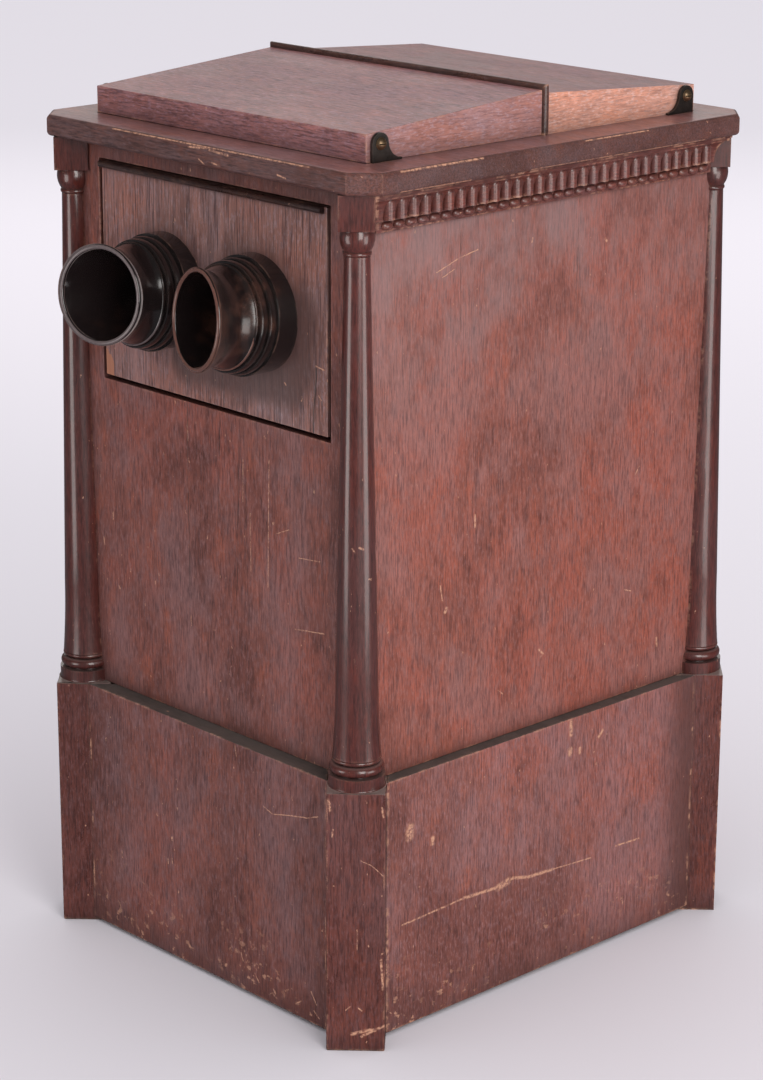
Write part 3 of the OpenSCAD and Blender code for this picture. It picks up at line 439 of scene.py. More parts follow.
def varnished(name, along, body=None, marks=(), cracks=(), bald=(), painted_shade=(), wear=0.6, gloss=0.38,
              dust=0.0, mottle=0.6, streaks=0.7, embers=0.6, grime_and_shade=0.6, corner_darkening=1.0, painted_top_sheen=0.0, dusty=0.0,
              coat=0.15, scuffs=0.0, run=0.09):
    """Old varnished wood with its grain along an axis, a painted sheen, rubbed edges, grime and painted shade
    in corners, and chosen strokes, some of them painted shadows.
    """
    colours = bpy.context.scene.stereoscope_colours
    sizes = bpy.context.scene.stereoscope_sizes
    finish = Finish(name)

    # Strokes come before the other nodes, so that the renderer has room for them
    marred = finish.marked(marks, 900, 0.35 * MM)
    split = finish.marked(cracks, 120, 0.5 * MM)
    gone = finish.marked(bald, 150, 2 * MM)
    shadow_strokes = finish.marked(painted_shade, 60, 6 * MM)

    # Grain and clouds
    place = finish.warped(finish.place, 9, 2.5 * MM)
    figure = finish.grain(place, along, 0.10, 190, 4, 0.62)
    fibre = finish.grain(place, along, run, 1250, 3, 0.65)
    flame = finish.grain(place, along, 0.30, 80, 5, 0.68)
    cloud = finish.grain(place, along, 0.60, 24, 6, 0.68)
    drift = finish.grain(finish.place, along, 0.7, 13, 4, 0.6)
    pores = finish.grain(finish.place, along, 0.12, 2600, 2, 0.5)
    smudge = finish.grain(finish.place, along, 0.5, 120, 4, 0.65)
    sheen = finish.grain(finish.place, along, 0.35, 900, 3, 0.6)
    speck = finish.noise(finish.place, 300, 3, 0.6)

    # Colour of the varnished wood with a painted sheen in bluish-grey clouds, smudges and specks, then the
    # lines of its fibres and pores
    middle = body or colours.middle
    rich = toned(middle, 0.96, 0.83, 0.75)
    # haze is the colour of the painted sheen
    haze = toned(middle, 1.0, 1.30, 1.52)
    wood = rich
    for pattern, low, high, amount, tone in (
            (figure, 0.36, 0.66, 0.7 * streaks, toned(rich, 0.70)),
            (flame, 0.48, 0.66, embers, toned(rich, 1.28, 1.05, 0.82)),
            (drift, 0.52, 0.64, mottle, toned(rich, 0.66, 0.64, 0.64)),
            (drift, 0.50, 0.38, mottle, toned(rich, 1.22, 1.06, 0.98)),
            (cloud, 0.54, 0.36, 0.6 * mottle, haze),
            (smudge, 0.52, 0.68, 0.5 * mottle, toned(haze, 0.86)),
            (cloud, 0.54, 0.68, mottle, toned(rich, 0.60, 0.58, 0.58)),
            (sheen, 0.50, 0.64, 0.5, toned(haze, 1.08))):
        wood = finish.mix(finish.ramp(pattern, low, high, 0, amount), wood, tone)
    for pattern, low, high, amount, tone in (
            (fibre, 0.51, 0.64, streaks, (1.32, 1.30, 1.26)),
            (fibre, 0.50, 0.37, streaks, (0.44, 0.42, 0.46)),
            (pores, 0.57, 0.70, 0.5, (0.40, 0.40, 0.42))):
        wood = finish.mix(finish.ramp(pattern, low, high, 0, amount), wood, tone, "MULTIPLY")

    # Painted sheen near the top, painted shadows, grime and painted shade in corners, and dust in the joints
    # Painted sheen: a paler grey-pink veil in clouds towards the top of the upper case
    if painted_top_sheen:
        sheened = finish.times(finish.ramp(cloud, 0.62, 0.38, 0.3 * painted_top_sheen, painted_top_sheen), finish.near_top())
        wood = finish.mix(sheened, wood, colours.painted_top_sheen)
    # Painted shadows: darker along the given strokes
    if painted_shade:
        wood = finish.mix(finish.ramp(shadow_strokes, 0, 1, 0, 0.75), wood, toned(middle, 0.35))
    # Darker in the corners: partly grime, partly painted shade, such as under the cornice and around the
    # eyecups
    grime_and_shade_mask = finish.times(finish.corners(corner_darkening * sizes.corner_darkening_reach), grime_and_shade)
    wood = finish.mix(grime_and_shade_mask, wood, toned(middle, 0.30))
    if dusty:
        settled = finish.ramp(speck, 0.3, 0.6, 0.3 * dusty, dusty)
        settled = finish.times(finish.corners(sizes.dust_reach), settled)
        wood = finish.mix(settled, wood, toned(colours.dust, 0.62, 0.60, 0.50))

    # Bare wood in chips, on rubbed edges and in the marks
    bare = finish.mix(fibre, toned(colours.bare, 0.70), colours.bare)
    patchy = finish.ramp(finish.noise(finish.place, 45, 3, 0.6), 0.40, 0.62)
    chips = finish.ramp(finish.grain(finish.place, along, 0.6, 420, 2, 0.5), 0.73, 0.78, 0, 0.7)
    rubbed = finish.times(finish.edges(sizes.wear_reach), finish.ramp(speck, 0.40, 0.58, 0, wear))
    chips = finish.math("MAXIMUM", chips, finish.times(rubbed, patchy))
    if scuffs:
        nicks = finish.ramp(finish.grain(finish.place, ALONG_Y, 0.7, 260, 3, 0.6), 0.58, 0.65, 0, scuffs)
        nicks = finish.times(nicks, finish.times(patchy, finish.near_floor()))
        chips = finish.math("MAXIMUM", chips, nicks)
    if marks:
        broken = finish.ramp(finish.noise(finish.place, 520, 3, 0.65), 0.36, 0.58, 0.15, 1)
        chips = finish.math("MAXIMUM", chips, finish.times(marred, broken))
    if bald:
        wood = finish.mix(finish.ramp(gone, 0.1, 0.35, 0, 0.9), wood, toned(colours.bare, 0.66, 0.52, 0.45))
    wood = finish.mix(chips, wood, bare)
    height = finish.math("SUBTRACT", fibre, finish.times(pores, 0.5))
    height = finish.math("SUBTRACT", height, finish.times(chips, 3))
    if cracks:
        wood = finish.mix(split, wood, toned(middle, 0.12))
        height = finish.math("SUBTRACT", height, finish.times(split, 3))
    if dust:
        lying = finish.times(finish.facing_up(), finish.ramp(cloud, 0.25, 0.6, 0.4 * dust, dust))
        wood = finish.mix(lying, wood, colours.dust)

    rough = finish.ramp(cloud, 0.3, 0.7, gloss + 0.08, gloss - 0.06)
    rough = finish.math("ADD", rough, finish.times(chips, 0.25))
    finish.set(Base_Color=wood, Roughness=rough, Normal=finish.bump(height, FIBRE_DEPTH),
               Coat_Weight=coat, Coat_Roughness=COAT_ROUGHNESS)
    return finish.material


def bare_wood(name, along, tone=1.0, stain=0.4):
    """Unfinished, oxidised wood with saw marks."""
    finish = Finish(name)
    place = finish.warped(finish.place, 8, 4 * MM)
    figure = finish.grain(place, along, 0.05, 60, 4, 0.6)
    fibre = finish.grain(place, along, 0.05, 600, 4, 0.65)
    body = toned(bpy.context.scene.stereoscope_colours.inner, tone)
    wood = finish.mix(finish.ramp(figure, 0.3, 0.7), toned(body, 0.62), body)
    wood = finish.mix(finish.ramp(fibre, 0.45, 0.75, 0, 0.5), wood, toned(body, 1.35))
    stained = finish.ramp(finish.noise(finish.place, 16, 4, 0.6), 0.45, 0.7, 0, stain)
    wood = finish.mix(stained, wood, toned(body, 0.4))
    wood = finish.mix(finish.times(finish.corners(6 * MM), 0.6), wood, toned(body, 0.3))
    saw = finish.grain(finish.place, along, 6, 90, 1, 0.3)
    relief = finish.math("ADD", fibre, finish.times(saw, 0.4))
    finish.set(Base_Color=wood, Roughness=finish.ramp(fibre, 0.2, 0.8, 0.66, 0.86),
               Normal=finish.bump(relief, 0.12 * MM))
    return finish.material


def ebonised(name, marks, brown, body=None):
    """Black-stained turned wood, brown where hands have rubbed it and pale on its thin edges, which is rubbed
    wear and a painted highlight.
    """
    colours = bpy.context.scene.stereoscope_colours
    finish = Finish(name)
    rub = finish.noise(finish.place, 42, 4, 0.62)
    fine = finish.noise(finish.place, 620, 4, 0.6)
    turned = finish.grain(finish.place, ALONG_Y, 14, 170, 3, 0.55)
    body = body or colours.ebony
    black = finish.mix(fine, toned(body, 0.6), toned(body, 1.5))
    stain = finish.mix(finish.ramp(rub, 0.50, 0.72, 0, brown), black, colours.ebony_worn)
    broken = finish.ramp(finish.noise(finish.place, 75, 3, 0.6), 0.38, 0.62, 0, 0.4)
    # Pale edges: rubbed wear and a painted highlight
    stain = finish.mix(finish.times(finish.edges(0.9 * MM), broken), stain, colours.ebony_edge_wear_and_highlight)
    dusty = finish.times(finish.corners(3 * MM), finish.ramp(rub, 0.4, 0.6, 0.02, 0.10))
    stain = finish.mix(dusty, stain, toned(colours.dust, 0.5))
    cracked = finish.marked(marks, 200, 0.4 * MM)
    stain = finish.mix(cracked, stain, (0.0015, 0.001, 0.001))
    height = finish.math("ADD", finish.times(turned, 0.7), fine)
    height = finish.math("SUBTRACT", height, finish.times(cracked, 6))
    finish.set(Base_Color=stain, Roughness=finish.ramp(rub, 0.3, 0.7, 0.12, 0.25),
               Normal=finish.bump(height, 0.015 * MM), Coat_Weight=0.6, Coat_Roughness=COAT_ROUGHNESS)
    return finish.material


def metal(name, tone, roughness, tarnish, corner_darkening=0.6):
    """Old metal: tarnish in clouds, darker in corners, brighter rubbed edges."""
    finish = Finish(name)
    cloud = finish.noise(finish.place, 160, 4, 0.6)
    fine = finish.noise(finish.place, 1520, 3, 0.6)
    skin = finish.mix(finish.ramp(cloud, 0.35, 0.7), tone, toned(tone, tarnish))
    skin = finish.mix(finish.times(finish.edges(0.5 * MM), 0.5), skin, toned(tone, 1.9))
    skin = finish.mix(finish.times(finish.corners(2 * MM), corner_darkening), skin, toned(tone, 0.12))
    finish.set(Base_Color=skin, Metallic=0.9, Normal=finish.bump(fine, 0.03 * MM),
               Roughness=finish.ramp(cloud, 0.3, 0.7, roughness - 0.08, roughness + 0.12))
    return finish.material


def lens_glass():
    """Old optical glass with a little haze."""
    finish = Finish("lens_glass_clear")
    haze = finish.noise(finish.place, 240, 4, 0.6)
    finish.set(Base_Color=(0.93, 0.96, 0.94), Transmission_Weight=1.0, IOR=1.52,
               Roughness=finish.ramp(haze, 0.4, 0.8, 0.01, 0.09))
    return finish.material


def silvered():
    """Mirror glass with spotted, browned silvering."""
    finish = Finish("mirror_silvering")
    spots = finish.ramp(finish.noise(finish.place, 130, 5, 0.65), 0.60, 0.70)
    cloud = finish.ramp(finish.noise(finish.place, 18, 3, 0.6), 0.45, 0.75)
    face = finish.mix(finish.times(cloud, 0.4), (0.80, 0.82, 0.81), (0.52, 0.47, 0.38))
    face = finish.mix(spots, face, (0.09, 0.075, 0.06))
    finish.set(Base_Color=face, Metallic=1.0, Roughness=finish.ramp(spots, 0, 1, 0.06, 0.5))
    return finish.material


def woven_tape():
    """Cotton tape: crossed threads, soiled along its length."""
    colours = bpy.context.scene.stereoscope_colours
    finish = Finish("belt_tape_woven")
    warp, weft = (finish.node("ShaderNodeTexWave", finish.place, 2 * pi / 20 / THREAD, bands_direction=axis)
                  for axis in "XZ")
    weave = finish.math("MAXIMUM", warp.outputs["Fac"], weft.outputs["Fac"])
    soil = finish.ramp(finish.noise(finish.place, 45, 4, 0.6), 0.4, 0.7)
    cloth = finish.mix(weave, toned(colours.tape, 0.5), colours.tape)
    cloth = finish.mix(finish.times(soil, 0.5), cloth, toned(colours.tape, 0.45))
    finish.set(Base_Color=cloth, Roughness=finish.ramp(weave, 0, 1, 0.95, 0.8),
               Normal=finish.bump(weave, 0.2 * MM))
    return finish.material


def card_board():
    """Buff stereo card with foxing and rubbed edges, and two brown prints on its own map."""
    colours = bpy.context.scene.stereoscope_colours
    finish = Finish("card_mount_board")
    fibre = finish.noise(finish.place, 900, 3, 0.6)
    foxing = finish.ramp(finish.noise(finish.place, 120, 3, 0.55), 0.66, 0.76)
    board = finish.mix(fibre, toned(colours.mount, 0.8), colours.mount)
    board = finish.mix(finish.times(finish.edges(0.8 * MM), 0.6), board,
                       toned(colours.mount, 0.55))
    chart = finish.node("ShaderNodeTexCoord").outputs["UV"]
    for middle, parallax in ((0.285, 0.0), (0.715, 0.02)):
        spot = finish.vector("SUBTRACT", chart, (middle, 0.5, 0))
        board = finish.mix(rounded_window(finish, spot), board, hill_view(finish, spot, parallax))
    board = finish.mix(finish.times(foxing, 0.5), board, toned(colours.mount, 0.45))
    finish.set(Base_Color=board, Roughness=finish.ramp(fibre, 0.2, 0.8, 0.6, 0.8),
               Normal=finish.bump(fibre, 0.04 * MM))
    return finish.material


def rounded_window(finish, spot):
    """1 inside a print's window with round corners, about its middle."""
    half, corner = (0.185, 0.40, 0), 0.09
    off = finish.vector("SUBTRACT", finish.vector("ABSOLUTE", spot), half)
    off = finish.vector("ADD", off, (corner, corner * 2, 0))
    off = finish.vector("MULTIPLY", finish.vector("MAXIMUM", off, (0, 0, 0)), (1, 0.5, 0))
    return finish.ramp(finish.vector("LENGTH", off), corner * 1.02, corner * 0.98)


def hill_view(finish, spot, parallax):
    """Plain hills, a field and trees under a pale sky; the nearer, the more they shift."""
    colours = bpy.context.scene.stereoscope_colours
    light, dark = colours.print_light, colours.print_dark
    middle = tuple((a + b) / 2 for a, b in zip(light, dark))
    height = finish.node("ShaderNodeSeparateXYZ", spot).outputs["Y"]
    far = finish.noise(finish.scaled(spot, (1, 0, 0)), 9, 4, 0.5)
    nearer = finish.vector("ADD", spot, (parallax, 0, 0))
    near = finish.noise(finish.scaled(nearer, (1, 0, 0)), 16, 4, 0.6)
    leaf = finish.noise(nearer, 60, 4, 0.7)
    hills = finish.ramp(finish.math("SUBTRACT", height, finish.times(far, 0.5)), -0.13, -0.15)
    field = finish.ramp(finish.math("SUBTRACT", height, finish.times(near, 0.3)), -0.24, -0.27)
    view = finish.mix(finish.ramp(height, -0.1, 0.4), light, toned(light, 0.75))
    view = finish.mix(hills, view, finish.mix(leaf, middle, light))
    return finish.mix(field, view, finish.mix(finish.ramp(leaf, 0.35, 0.65), dark, middle))


# Wear, and painted shade, seen on the case: width, then points in millimetres across and up a face

def on_side(marks, x):
    """Marks on a face that looks along X, given as y behind the middle of the case and z."""
    return [(width * MM, *(Vector((x, CASE_Y + y * MM, z * MM)) for y, z in points))
            for width, *points in marks]


def on_front(marks, y):
    """Marks on a face that looks along -Y, given as x and z."""
    return [(width * MM, *(Vector((x * MM, y, z * MM)) for x, z in points)) for width, *points in marks]


def on_near_foot(marks):
    """Marks on the diagonal face of the near foot block, given across from its middle and up."""
    face = Vector(((POST_LOW.x + 3 * POST_HIGH.x) / 4, (3 * POST_LOW.y + POST_HIGH.y) / 4, 0))
    return [(width * MM, *(face + Vector((across * MM / sqrt(2), across * MM / sqrt(2), z * MM))
                           for across, z in points)) for width, *points in marks]


def on_near_column(marks):
    """Marks on the column above it, given as a turn from the front towards the right, and up."""
    return [(width * MM, *(Vector((POST_MIDDLE.x + COLUMN_R * sin(radians(turn)),
                                   POST_MIDDLE.y - COLUMN_R * cos(radians(turn)), z * MM))
                           for turn, z in points)) for width, *points in marks]


FOOT_CHIPS = (
    (0.3, (2.7, 104.4), (8.2, 101.8), (13.7, 96.5)),
    (0.9, (-13.6, 137), (-12.4, 131)),
    (0.5, (-11.2, 121), (-11.6, 117)),
    (0.5, (-4.8, 22.8), (-2.7, 24.6)),
    (0.5, (1.5, 24), (3.2, 22.5)),
    (1.2, (-1.7, 9.5), (6.4, 11.9), (10, 12)),
    (0.9, (3, 8.2), (14.4, 14.3)),
    (0.8, (13.9, 34.3), (12.8, 50.8)),
    (0.25, (0.8, 67), (0.8, 56)),
    (0.6, (13.9, 128), (12.9, 133)),
)
COLUMN_CHIPS = (
    (1.0, (41, 208.7), (46, 204)),
    (0.8, (47, 203), (44, 198)),
    (0.7, (27, 195.6), (30, 190)),
    (0.6, (33, 188), (31, 185)),
    (0.8, (55, 265.4), (66, 264.5)),
    (0.6, (33, 264.9), (41, 263)),
)
SIDE_SCRATCHES = (
    (0.41, (-78, 392), (-63, 397), (-50, 399.5)),
    (0.32, (-74, 389), (-66, 392)),
    (0.82, (-49.5, 264), (-49.4, 258)),
    (0.49, (-73.5, 232), (-72, 224)),
    (1.33, (-70, 217.5), (-69, 219)),
    (0.82, (-1, 181), (2, 178), (0.5, 177)),
    (0.41, (-31, 166), (-27.5, 163)),
    (0.41, (64, 199.5), (69, 197.5)),
    (0.82, (91, 166), (91.5, 161)),
    (0.92, (42, 392), (43, 391)),
    (0.57, (-12, 398), (-11.5, 400)),
    (0.49, (70, 262), (73, 266)),
)
SIDE_CRACKS = ((0.21, (-62, 417), (-61, 360)), (0.18, (22, 417), (21, 352)))

PLINTH_SIDE_SCRATCHES = (
    (0.7, (-105, 59.5), (-62, 61)),
    (1.2, (-62, 61), (-38, 59.7), (-25, 61.5)),
    (2.6, (-36, 59.3), (-28, 61)),
    (1.2, (-25, 61.5), (-13, 58.6), (6, 57.5)),
    (0.5, (6, 57.5), (35, 55.4)),
    (0.7, (55, 56.6), (74, 55.6)),
    (3.6, (-100.5, 107), (-100, 111)),
    (1.9, (-84.2, 98.5), (-84, 101)),
    (1.6, (17.2, 138), (17.4, 131)),
    (2.2, (17, 120.5), (17, 122.5)),
    (1.2, (24.5, 119), (24.6, 121.5)),
    (1.2, (39, 124), (42, 127)),
)
# Painted shade towards the back end of the right plinth, beside the rear post
PLINTH_SIDE_SHADE = ((46, (127, 25), (127, 125)),)
PLINTH_FRONT_SCRATCHES = (
    (0.41, (47.7, 111.7), (54.8, 109.5), (69.3, 113), (81.4, 115.4), (89.5, 118.5)),
    (0.49, (-70, 50), (-70, 46)),
    (1.12, (-26.7, 71), (-26.5, 70)),
    (0.49, (-30.4, 58), (-30.2, 55)),
    (0.49, (-27, 59), (-26.8, 56)),
    (0.82, (-22, 41.5), (-22, 41)),
    (0.49, (29, 23), (30.5, 19)),
    (0.41, (26, 139), (27, 133)),
    (0.49, (40, 15), (43, 11)),
    (0.49, (72, 9), (76, 12)),
    (0.57, (84, 20), (88, 14)),
    (0.41, (86, 10), (90, 7)),
)
BOARD_CRACKS = (
    (0.27, (-20.2, 311), (-20.6, 262), (-20.3, 209)),
    (0.21, (5.8, 311), (3.1, 253)),
    (0.21, (20.4, 304), (17.3, 213)),
    (0.18, (80.9, 301), (82.1, 229)),
)
BOARD_CHIPS = (
    (0.54, (-83.6, 238), (-83.5, 234)),
    (0.48, (-92, 222), (-91.5, 218)),
    (0.36, (-19.9, 196), (-19.6, 190)),
    (0.42, (-20.3, 300), (-20.2, 290)),
    (0.3, (23.1, 289), (22.7, 267)),
    (0.27, (28.1, 262), (28.4, 229)),
    (0.36, (43, 293), (41.4, 226)),
    (0.3, (47.8, 255.6), (57.7, 260)),
    (0.33, (65, 247), (80.6, 248.6)),
    (0.42, (61.8, 208.8), (83.4, 211.7)),
)

PANEL_CRACKS = (
    (0.27, (-18, 414), (-19, 360), (-20.3, 313)),
    (0.24, (8, 330), (8.9, 313.5)),
    (0.42, (78.4, 346.5), (77.6, 335), (76.6, 328), (76, 313.5)),
)
PANEL_CHIPS = (
    (0.48, (78, 347.5), (84, 346.5)),
    (0.36, (82, 331), (80, 333)),
    (0.42, (-78, 424), (-72, 424)),
    (0.42, (55, 335), (56, 334)),
)
PANEL_BALD = ((4.2, (-83.5, 312), (-83.2, 321)), (2.2, (-85.5, 322), (-85.5, 325)))
# Painted shadows of the eyecups on the panel, beside the right cup and under both
PANEL_CUP_SHADOWS = ((24, (62, 350), (66, 370)), (16, (-20, 330), (60, 333)))
TOP_CHIPS = (
    (0.66, (0, 446), (14, 447)), (0.78, (16, 446.5), (30, 445.5)), (0.54, (8, 441), (12, 439)),
    (0.6, (18, 440.5), (24, 439.5)), (0.6, (66, 441), (72, 440)),
)


# Pieces

class STEREOSCOPE_OT_stage(bpy.types.Operator):
    """Camera, lamps, floor and even room light"""
    bl_idname = "stereoscope.stage"
    bl_label = "Stage"

    def execute(self, context):
        stage = context.scene.stereoscope_stage
        context.scene.view_settings.view_transform = "Standard"
        self.camera(context, stage)
        key = self.lamp("key_lamp", KEY_PLACE, KEY_SIZE, stage.key_power)
        key.data.spread = KEY_SPREAD
        for name, place in STRIP_PLACES.items():
            self.lamp(name, place, STRIP_SIZE, stage.strip_power).visible_diffuse = False
        self.lamp("back_lamp", BACK_PLACE, BACK_SIZE, stage.back_power)
        self.floor(context)
        self.room(context, stage)
        return {"FINISHED"}

    def camera(self, context, stage):
        bpy.ops.object.camera_add(location=stage.eye)
        camera = context.active_object
        look = (Vector(stage.aim) - Vector(stage.eye)).to_track_quat("-Z", "Y")
        camera.rotation_euler = look.to_euler()
        camera.rotation_euler.rotate_axis("Z", stage.roll)
        camera.data.lens = stage.lens
        camera.data.sensor_width = SENSOR_WIDTH
        context.scene.camera = camera

    def lamp(self, name, place, size, power):
        bpy.ops.object.light_add(type="AREA", location=place)
        lamp = bpy.context.active_object
        lamp.name = name
        lamp.rotation_euler = (LAMP_AIM - Vector(place)).to_track_quat("-Z", "Y").to_euler()
        lamp.data.shape = "RECTANGLE"
        lamp.data.size, lamp.data.size_y = size
        lamp.data.energy = power
        lamp.data.color = LAMP_TINT
        lamp.visible_camera = False
        return lamp

    def floor(self, context):
        bpy.ops.object.select_all(action="DESELECT")
        bpy.ops.mesh.primitive_plane_add(size=FLOOR_SIZE)
        floor = context.active_object
        floor.name = "floor"
        finish = Finish("floor_paper")
        tone = context.scene.stereoscope_colours.floor
        # Darker near the object and brighter away from it: painted light on the paper
        painted_light_falloff = finish.ramp(finish.vector("DOT_PRODUCT", finish.place, AWAY), -0.8, 2.0)
        shade = finish.noise(finish.place, 6, 2, 0.5)
        paper = finish.mix(painted_light_falloff, toned(tone, 0.89), toned(tone, 1.10))
        paper = finish.mix(finish.times(shade, 0.03), paper, tone)
        reflected = finish.node("ShaderNodeLightPath").outputs["Is Glossy Ray"]
        paper = finish.mix(reflected, paper, toned(tone, 0.16))
        finish.set(Base_Color=paper, Roughness=0.9, Specular_IOR_Level=0.1)
        paint(floor, finish.material)

    def room(self, context, stage):
        world = bpy.data.worlds.new("room")
        context.scene.world = world
        world.use_nodes = True
        world.node_tree.nodes.clear()
        nodes = Nodes(world.node_tree)
        ray = nodes.node("ShaderNodeLightPath").outputs
        seen = nodes.math("MAXIMUM", ray["Is Camera Ray"], ray["Is Transmission Ray"])
        shown = nodes.node("ShaderNodeBackground", ROOM_TINT, stage.room_light).outputs[0]
        for test, tint, strength in ((ray["Is Glossy Ray"], ROOM_TINT, stage.room_glow),
                                     (seen, BACKDROP_TINT, 1)):
            other = nodes.node("ShaderNodeBackground", tint, strength).outputs[0]
            shown = nodes.node("ShaderNodeMixShader", test, shown, other).outputs[0]
        nodes.node("ShaderNodeOutputWorld", shown)


class STEREOSCOPE_OT_case(bpy.types.Operator):
    """Front, back, side and bottom boards of the upper case"""
    bl_idname = "stereoscope.case"
    bl_label = "Case boards"

    def execute(self, context):
        edge = context.scene.stereoscope_sizes.board_edge
        finishes = {
            "right_side_board": varnished(
                "side_right_varnish", ALONG_Z, marks=on_side(SIDE_SCRATCHES, SIDE_X),
                cracks=on_side(SIDE_CRACKS, SIDE_X), mottle=0.85, painted_top_sheen=0.5, corner_darkening=2.2, grime_and_shade=0.8),
            "left_side_board": varnished("side_left_varnish", ALONG_Z, mottle=0.85, painted_top_sheen=0.5),
            "back_board": varnished("back_varnish", ALONG_Z),
            "front_board": varnished(
                "front_varnish", ALONG_Z, body=context.scene.stereoscope_colours.front_board,
                marks=on_front(BOARD_CHIPS, FRONT_Y), cracks=on_front(BOARD_CRACKS, FRONT_Y), mottle=0.9,
                embers=0.9, corner_darkening=2.2, grime_and_shade=0.8),
            "bottom_board": bare_wood("bottom_bare", ALONG_X, 0.8),
        }
        for node, finish in finishes.items():
            eased_copy(node, finish, edge)
        return {"FINISHED"}


class STEREOSCOPE_OT_plinth(bpy.types.Operator):
    """Four plinth boards between the foot blocks"""
    bl_idname = "stereoscope.plinth"
    bl_label = "Plinth boards"

    def execute(self, context):
        colours = context.scene.stereoscope_colours
        edge = context.scene.stereoscope_sizes.board_edge
        marks = {
            "plinth_front": on_front(PLINTH_FRONT_SCRATCHES, PLINTH_FRONT_Y),
            "plinth_right": on_side(PLINTH_SIDE_SCRATCHES, PLINTH_SIDE_X),
        }
        painted_shade = {"plinth_right": on_side(PLINTH_SIDE_SHADE, PLINTH_SIDE_X)}
        # The front plinth's darker body and the right plinth's lighter one are partly painted shade and painted
        # light
        bodies = {"plinth_front": colours.plinth_front, "plinth_right": colours.plinth_right}
        # The ledges: dirt and a painted shade
        dirty_shaded_ledge = varnished("ledge_varnish", ALONG_X, body=colours.dirty_shaded_ledge, wear=0.8, dust=0.25, gloss=0.5)
        for node in PLINTHS:
            finish = varnished(node + "_varnish", ALONG_Z, body=bodies.get(node), marks=marks.get(node, ()),
                               painted_shade=painted_shade.get(node, ()), mottle=0.8, wear=0.8, corner_darkening=2.2, grime_and_shade=0.8,
                               dusty=0.5, scuffs=0.75)
            paint_faces(eased_copy(node, finish, edge), dirty_shaded_ledge, lambda face: face.normal.z > 0.9)
        return {"FINISHED"}


class STEREOSCOPE_OT_posts(bpy.types.Operator):
    """Corner posts with worn foot blocks, turned columns and capitals"""
    bl_idname = "stereoscope.posts"
    bl_label = "Corner posts"

    def execute(self, context):
        colours = context.scene.stereoscope_colours
        edge = context.scene.stereoscope_sizes.foot_edge
        turned = varnished("column_varnish", ALONG_Z, body=colours.turned, marks=on_near_column(COLUMN_CHIPS),
                           wear=0.25, gloss=0.34, dust=0.2, grime_and_shade=0.5, coat=0.9)
        block = varnished("foot_varnish", ALONG_Z, body=colours.foot, marks=on_near_foot(FOOT_CHIPS), wear=1.0,
                          gloss=0.32, dust=0.5, dusty=0.5, coat=0.4)
        for node in POSTS:
            post = eased_copy(node, turned, edge, where=self.on_a_block, segments=3)
            paint_faces(post, block, lambda face: self.on_a_block(face.center))
        return {"FINISHED"}

    @staticmethod
    def on_a_block(point):
        return point.z < LEDGE_Z + 0.1 * MM


class STEREOSCOPE_OT_top(bpy.types.Operator):
    """Top board and the two carved cornices under it"""
    bl_idname = "stereoscope.top"
    bl_label = "Top board and cornices"

    def execute(self, context):
        colours = context.scene.stereoscope_colours
        worn = on_front(TOP_CHIPS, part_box("top_board")[0].y) + self.worn_arrises()
        top = eased_copy("top_board", varnished("top_edge_varnish", ALONG_X, body=colours.top_edge, wear=1.0,
                                                gloss=0.38, marks=worn))
        smooth(top, CRISP_ANGLE)
        # Lighter upper face: a painted sheen
        sheened_upper = varnished("top_face_varnish", ALONG_X, body=colours.lit_top_face, gloss=0.35)
        paint_faces(top, sheened_upper, lambda face: face.normal.z > 0.95)
        carved = toned(colours.turned, 1.7, 2.4, 2.5)
        for cornice in ("left_cornice", "right_cornice"):
            eased_copy(cornice, varnished(cornice + "_varnish", ALONG_Y, body=carved, wear=0.7, gloss=0.34,
                                          grime_and_shade=0.6, corner_darkening=0.4, coat=0.5, embers=0.9))
        return {"FINISHED"}

    @staticmethod
    def worn_arrises():
        """Broken marks on the rounded edges at the front and right."""
        low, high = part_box("top_board")
        inset = 0.8 * MM
        x, y, top, under = high.x - inset, low.y + inset, high.z - inset, low.z + inset
        right = ((0.8, top, 24, 78), (0.5, top, 150, 196), (0.6, under, 24, 70), (0.5, under, 112, 240))
        marks = [(width * MM, Vector((x, y + start * MM, z)), Vector((x, y + end * MM, z)))
                 for width, z, start, end in right]
        return marks + [(0.6 * MM, Vector((-60 * MM, y, top)), Vector((88 * MM, y, top)))]


class STEREOSCOPE_OT_lids(bpy.types.Operator):
    """Front and rear lids with the ridge strip between them"""
    bl_idname = "stereoscope.lids"
    bl_label = "Lids"

    def execute(self, context):
        colours = context.scene.stereoscope_colours
        edge = context.scene.stereoscope_sizes.lid_edge
        lid = {"gloss": 0.40, "embers": 0.5, "streaks": 0.85, "mottle": 0.35, "coat": 0.1}
        right_ends = {
            "front_lid": varnished("front_lid_end", ALONG_Y, body=colours.lid_end, **{**lid, "streaks": 0.5}),
            "rear_lid": varnished("rear_lid_end_grain", ALONG_Y, body=colours.lid_end_bare, gloss=0.5,
                                  streaks=0.5, mottle=0.4, embers=0.4, wear=0.2, coat=0.0),
        }
        for node, right_end in right_ends.items():
            # The lid body holds a painted sheen besides the wood's own tone
            piece = eased_copy(node, varnished(node + "_varnish", ALONG_X, body=colours.lid, **lid), edge)
            paint_faces(piece, right_end, lambda face: face.normal.x > 0.9)
        eased_copy("ridge_strip", varnished("ridge_varnish", ALONG_X, body=colours.ridge, wear=0.8, gloss=0.3))
        return {"FINISHED"}


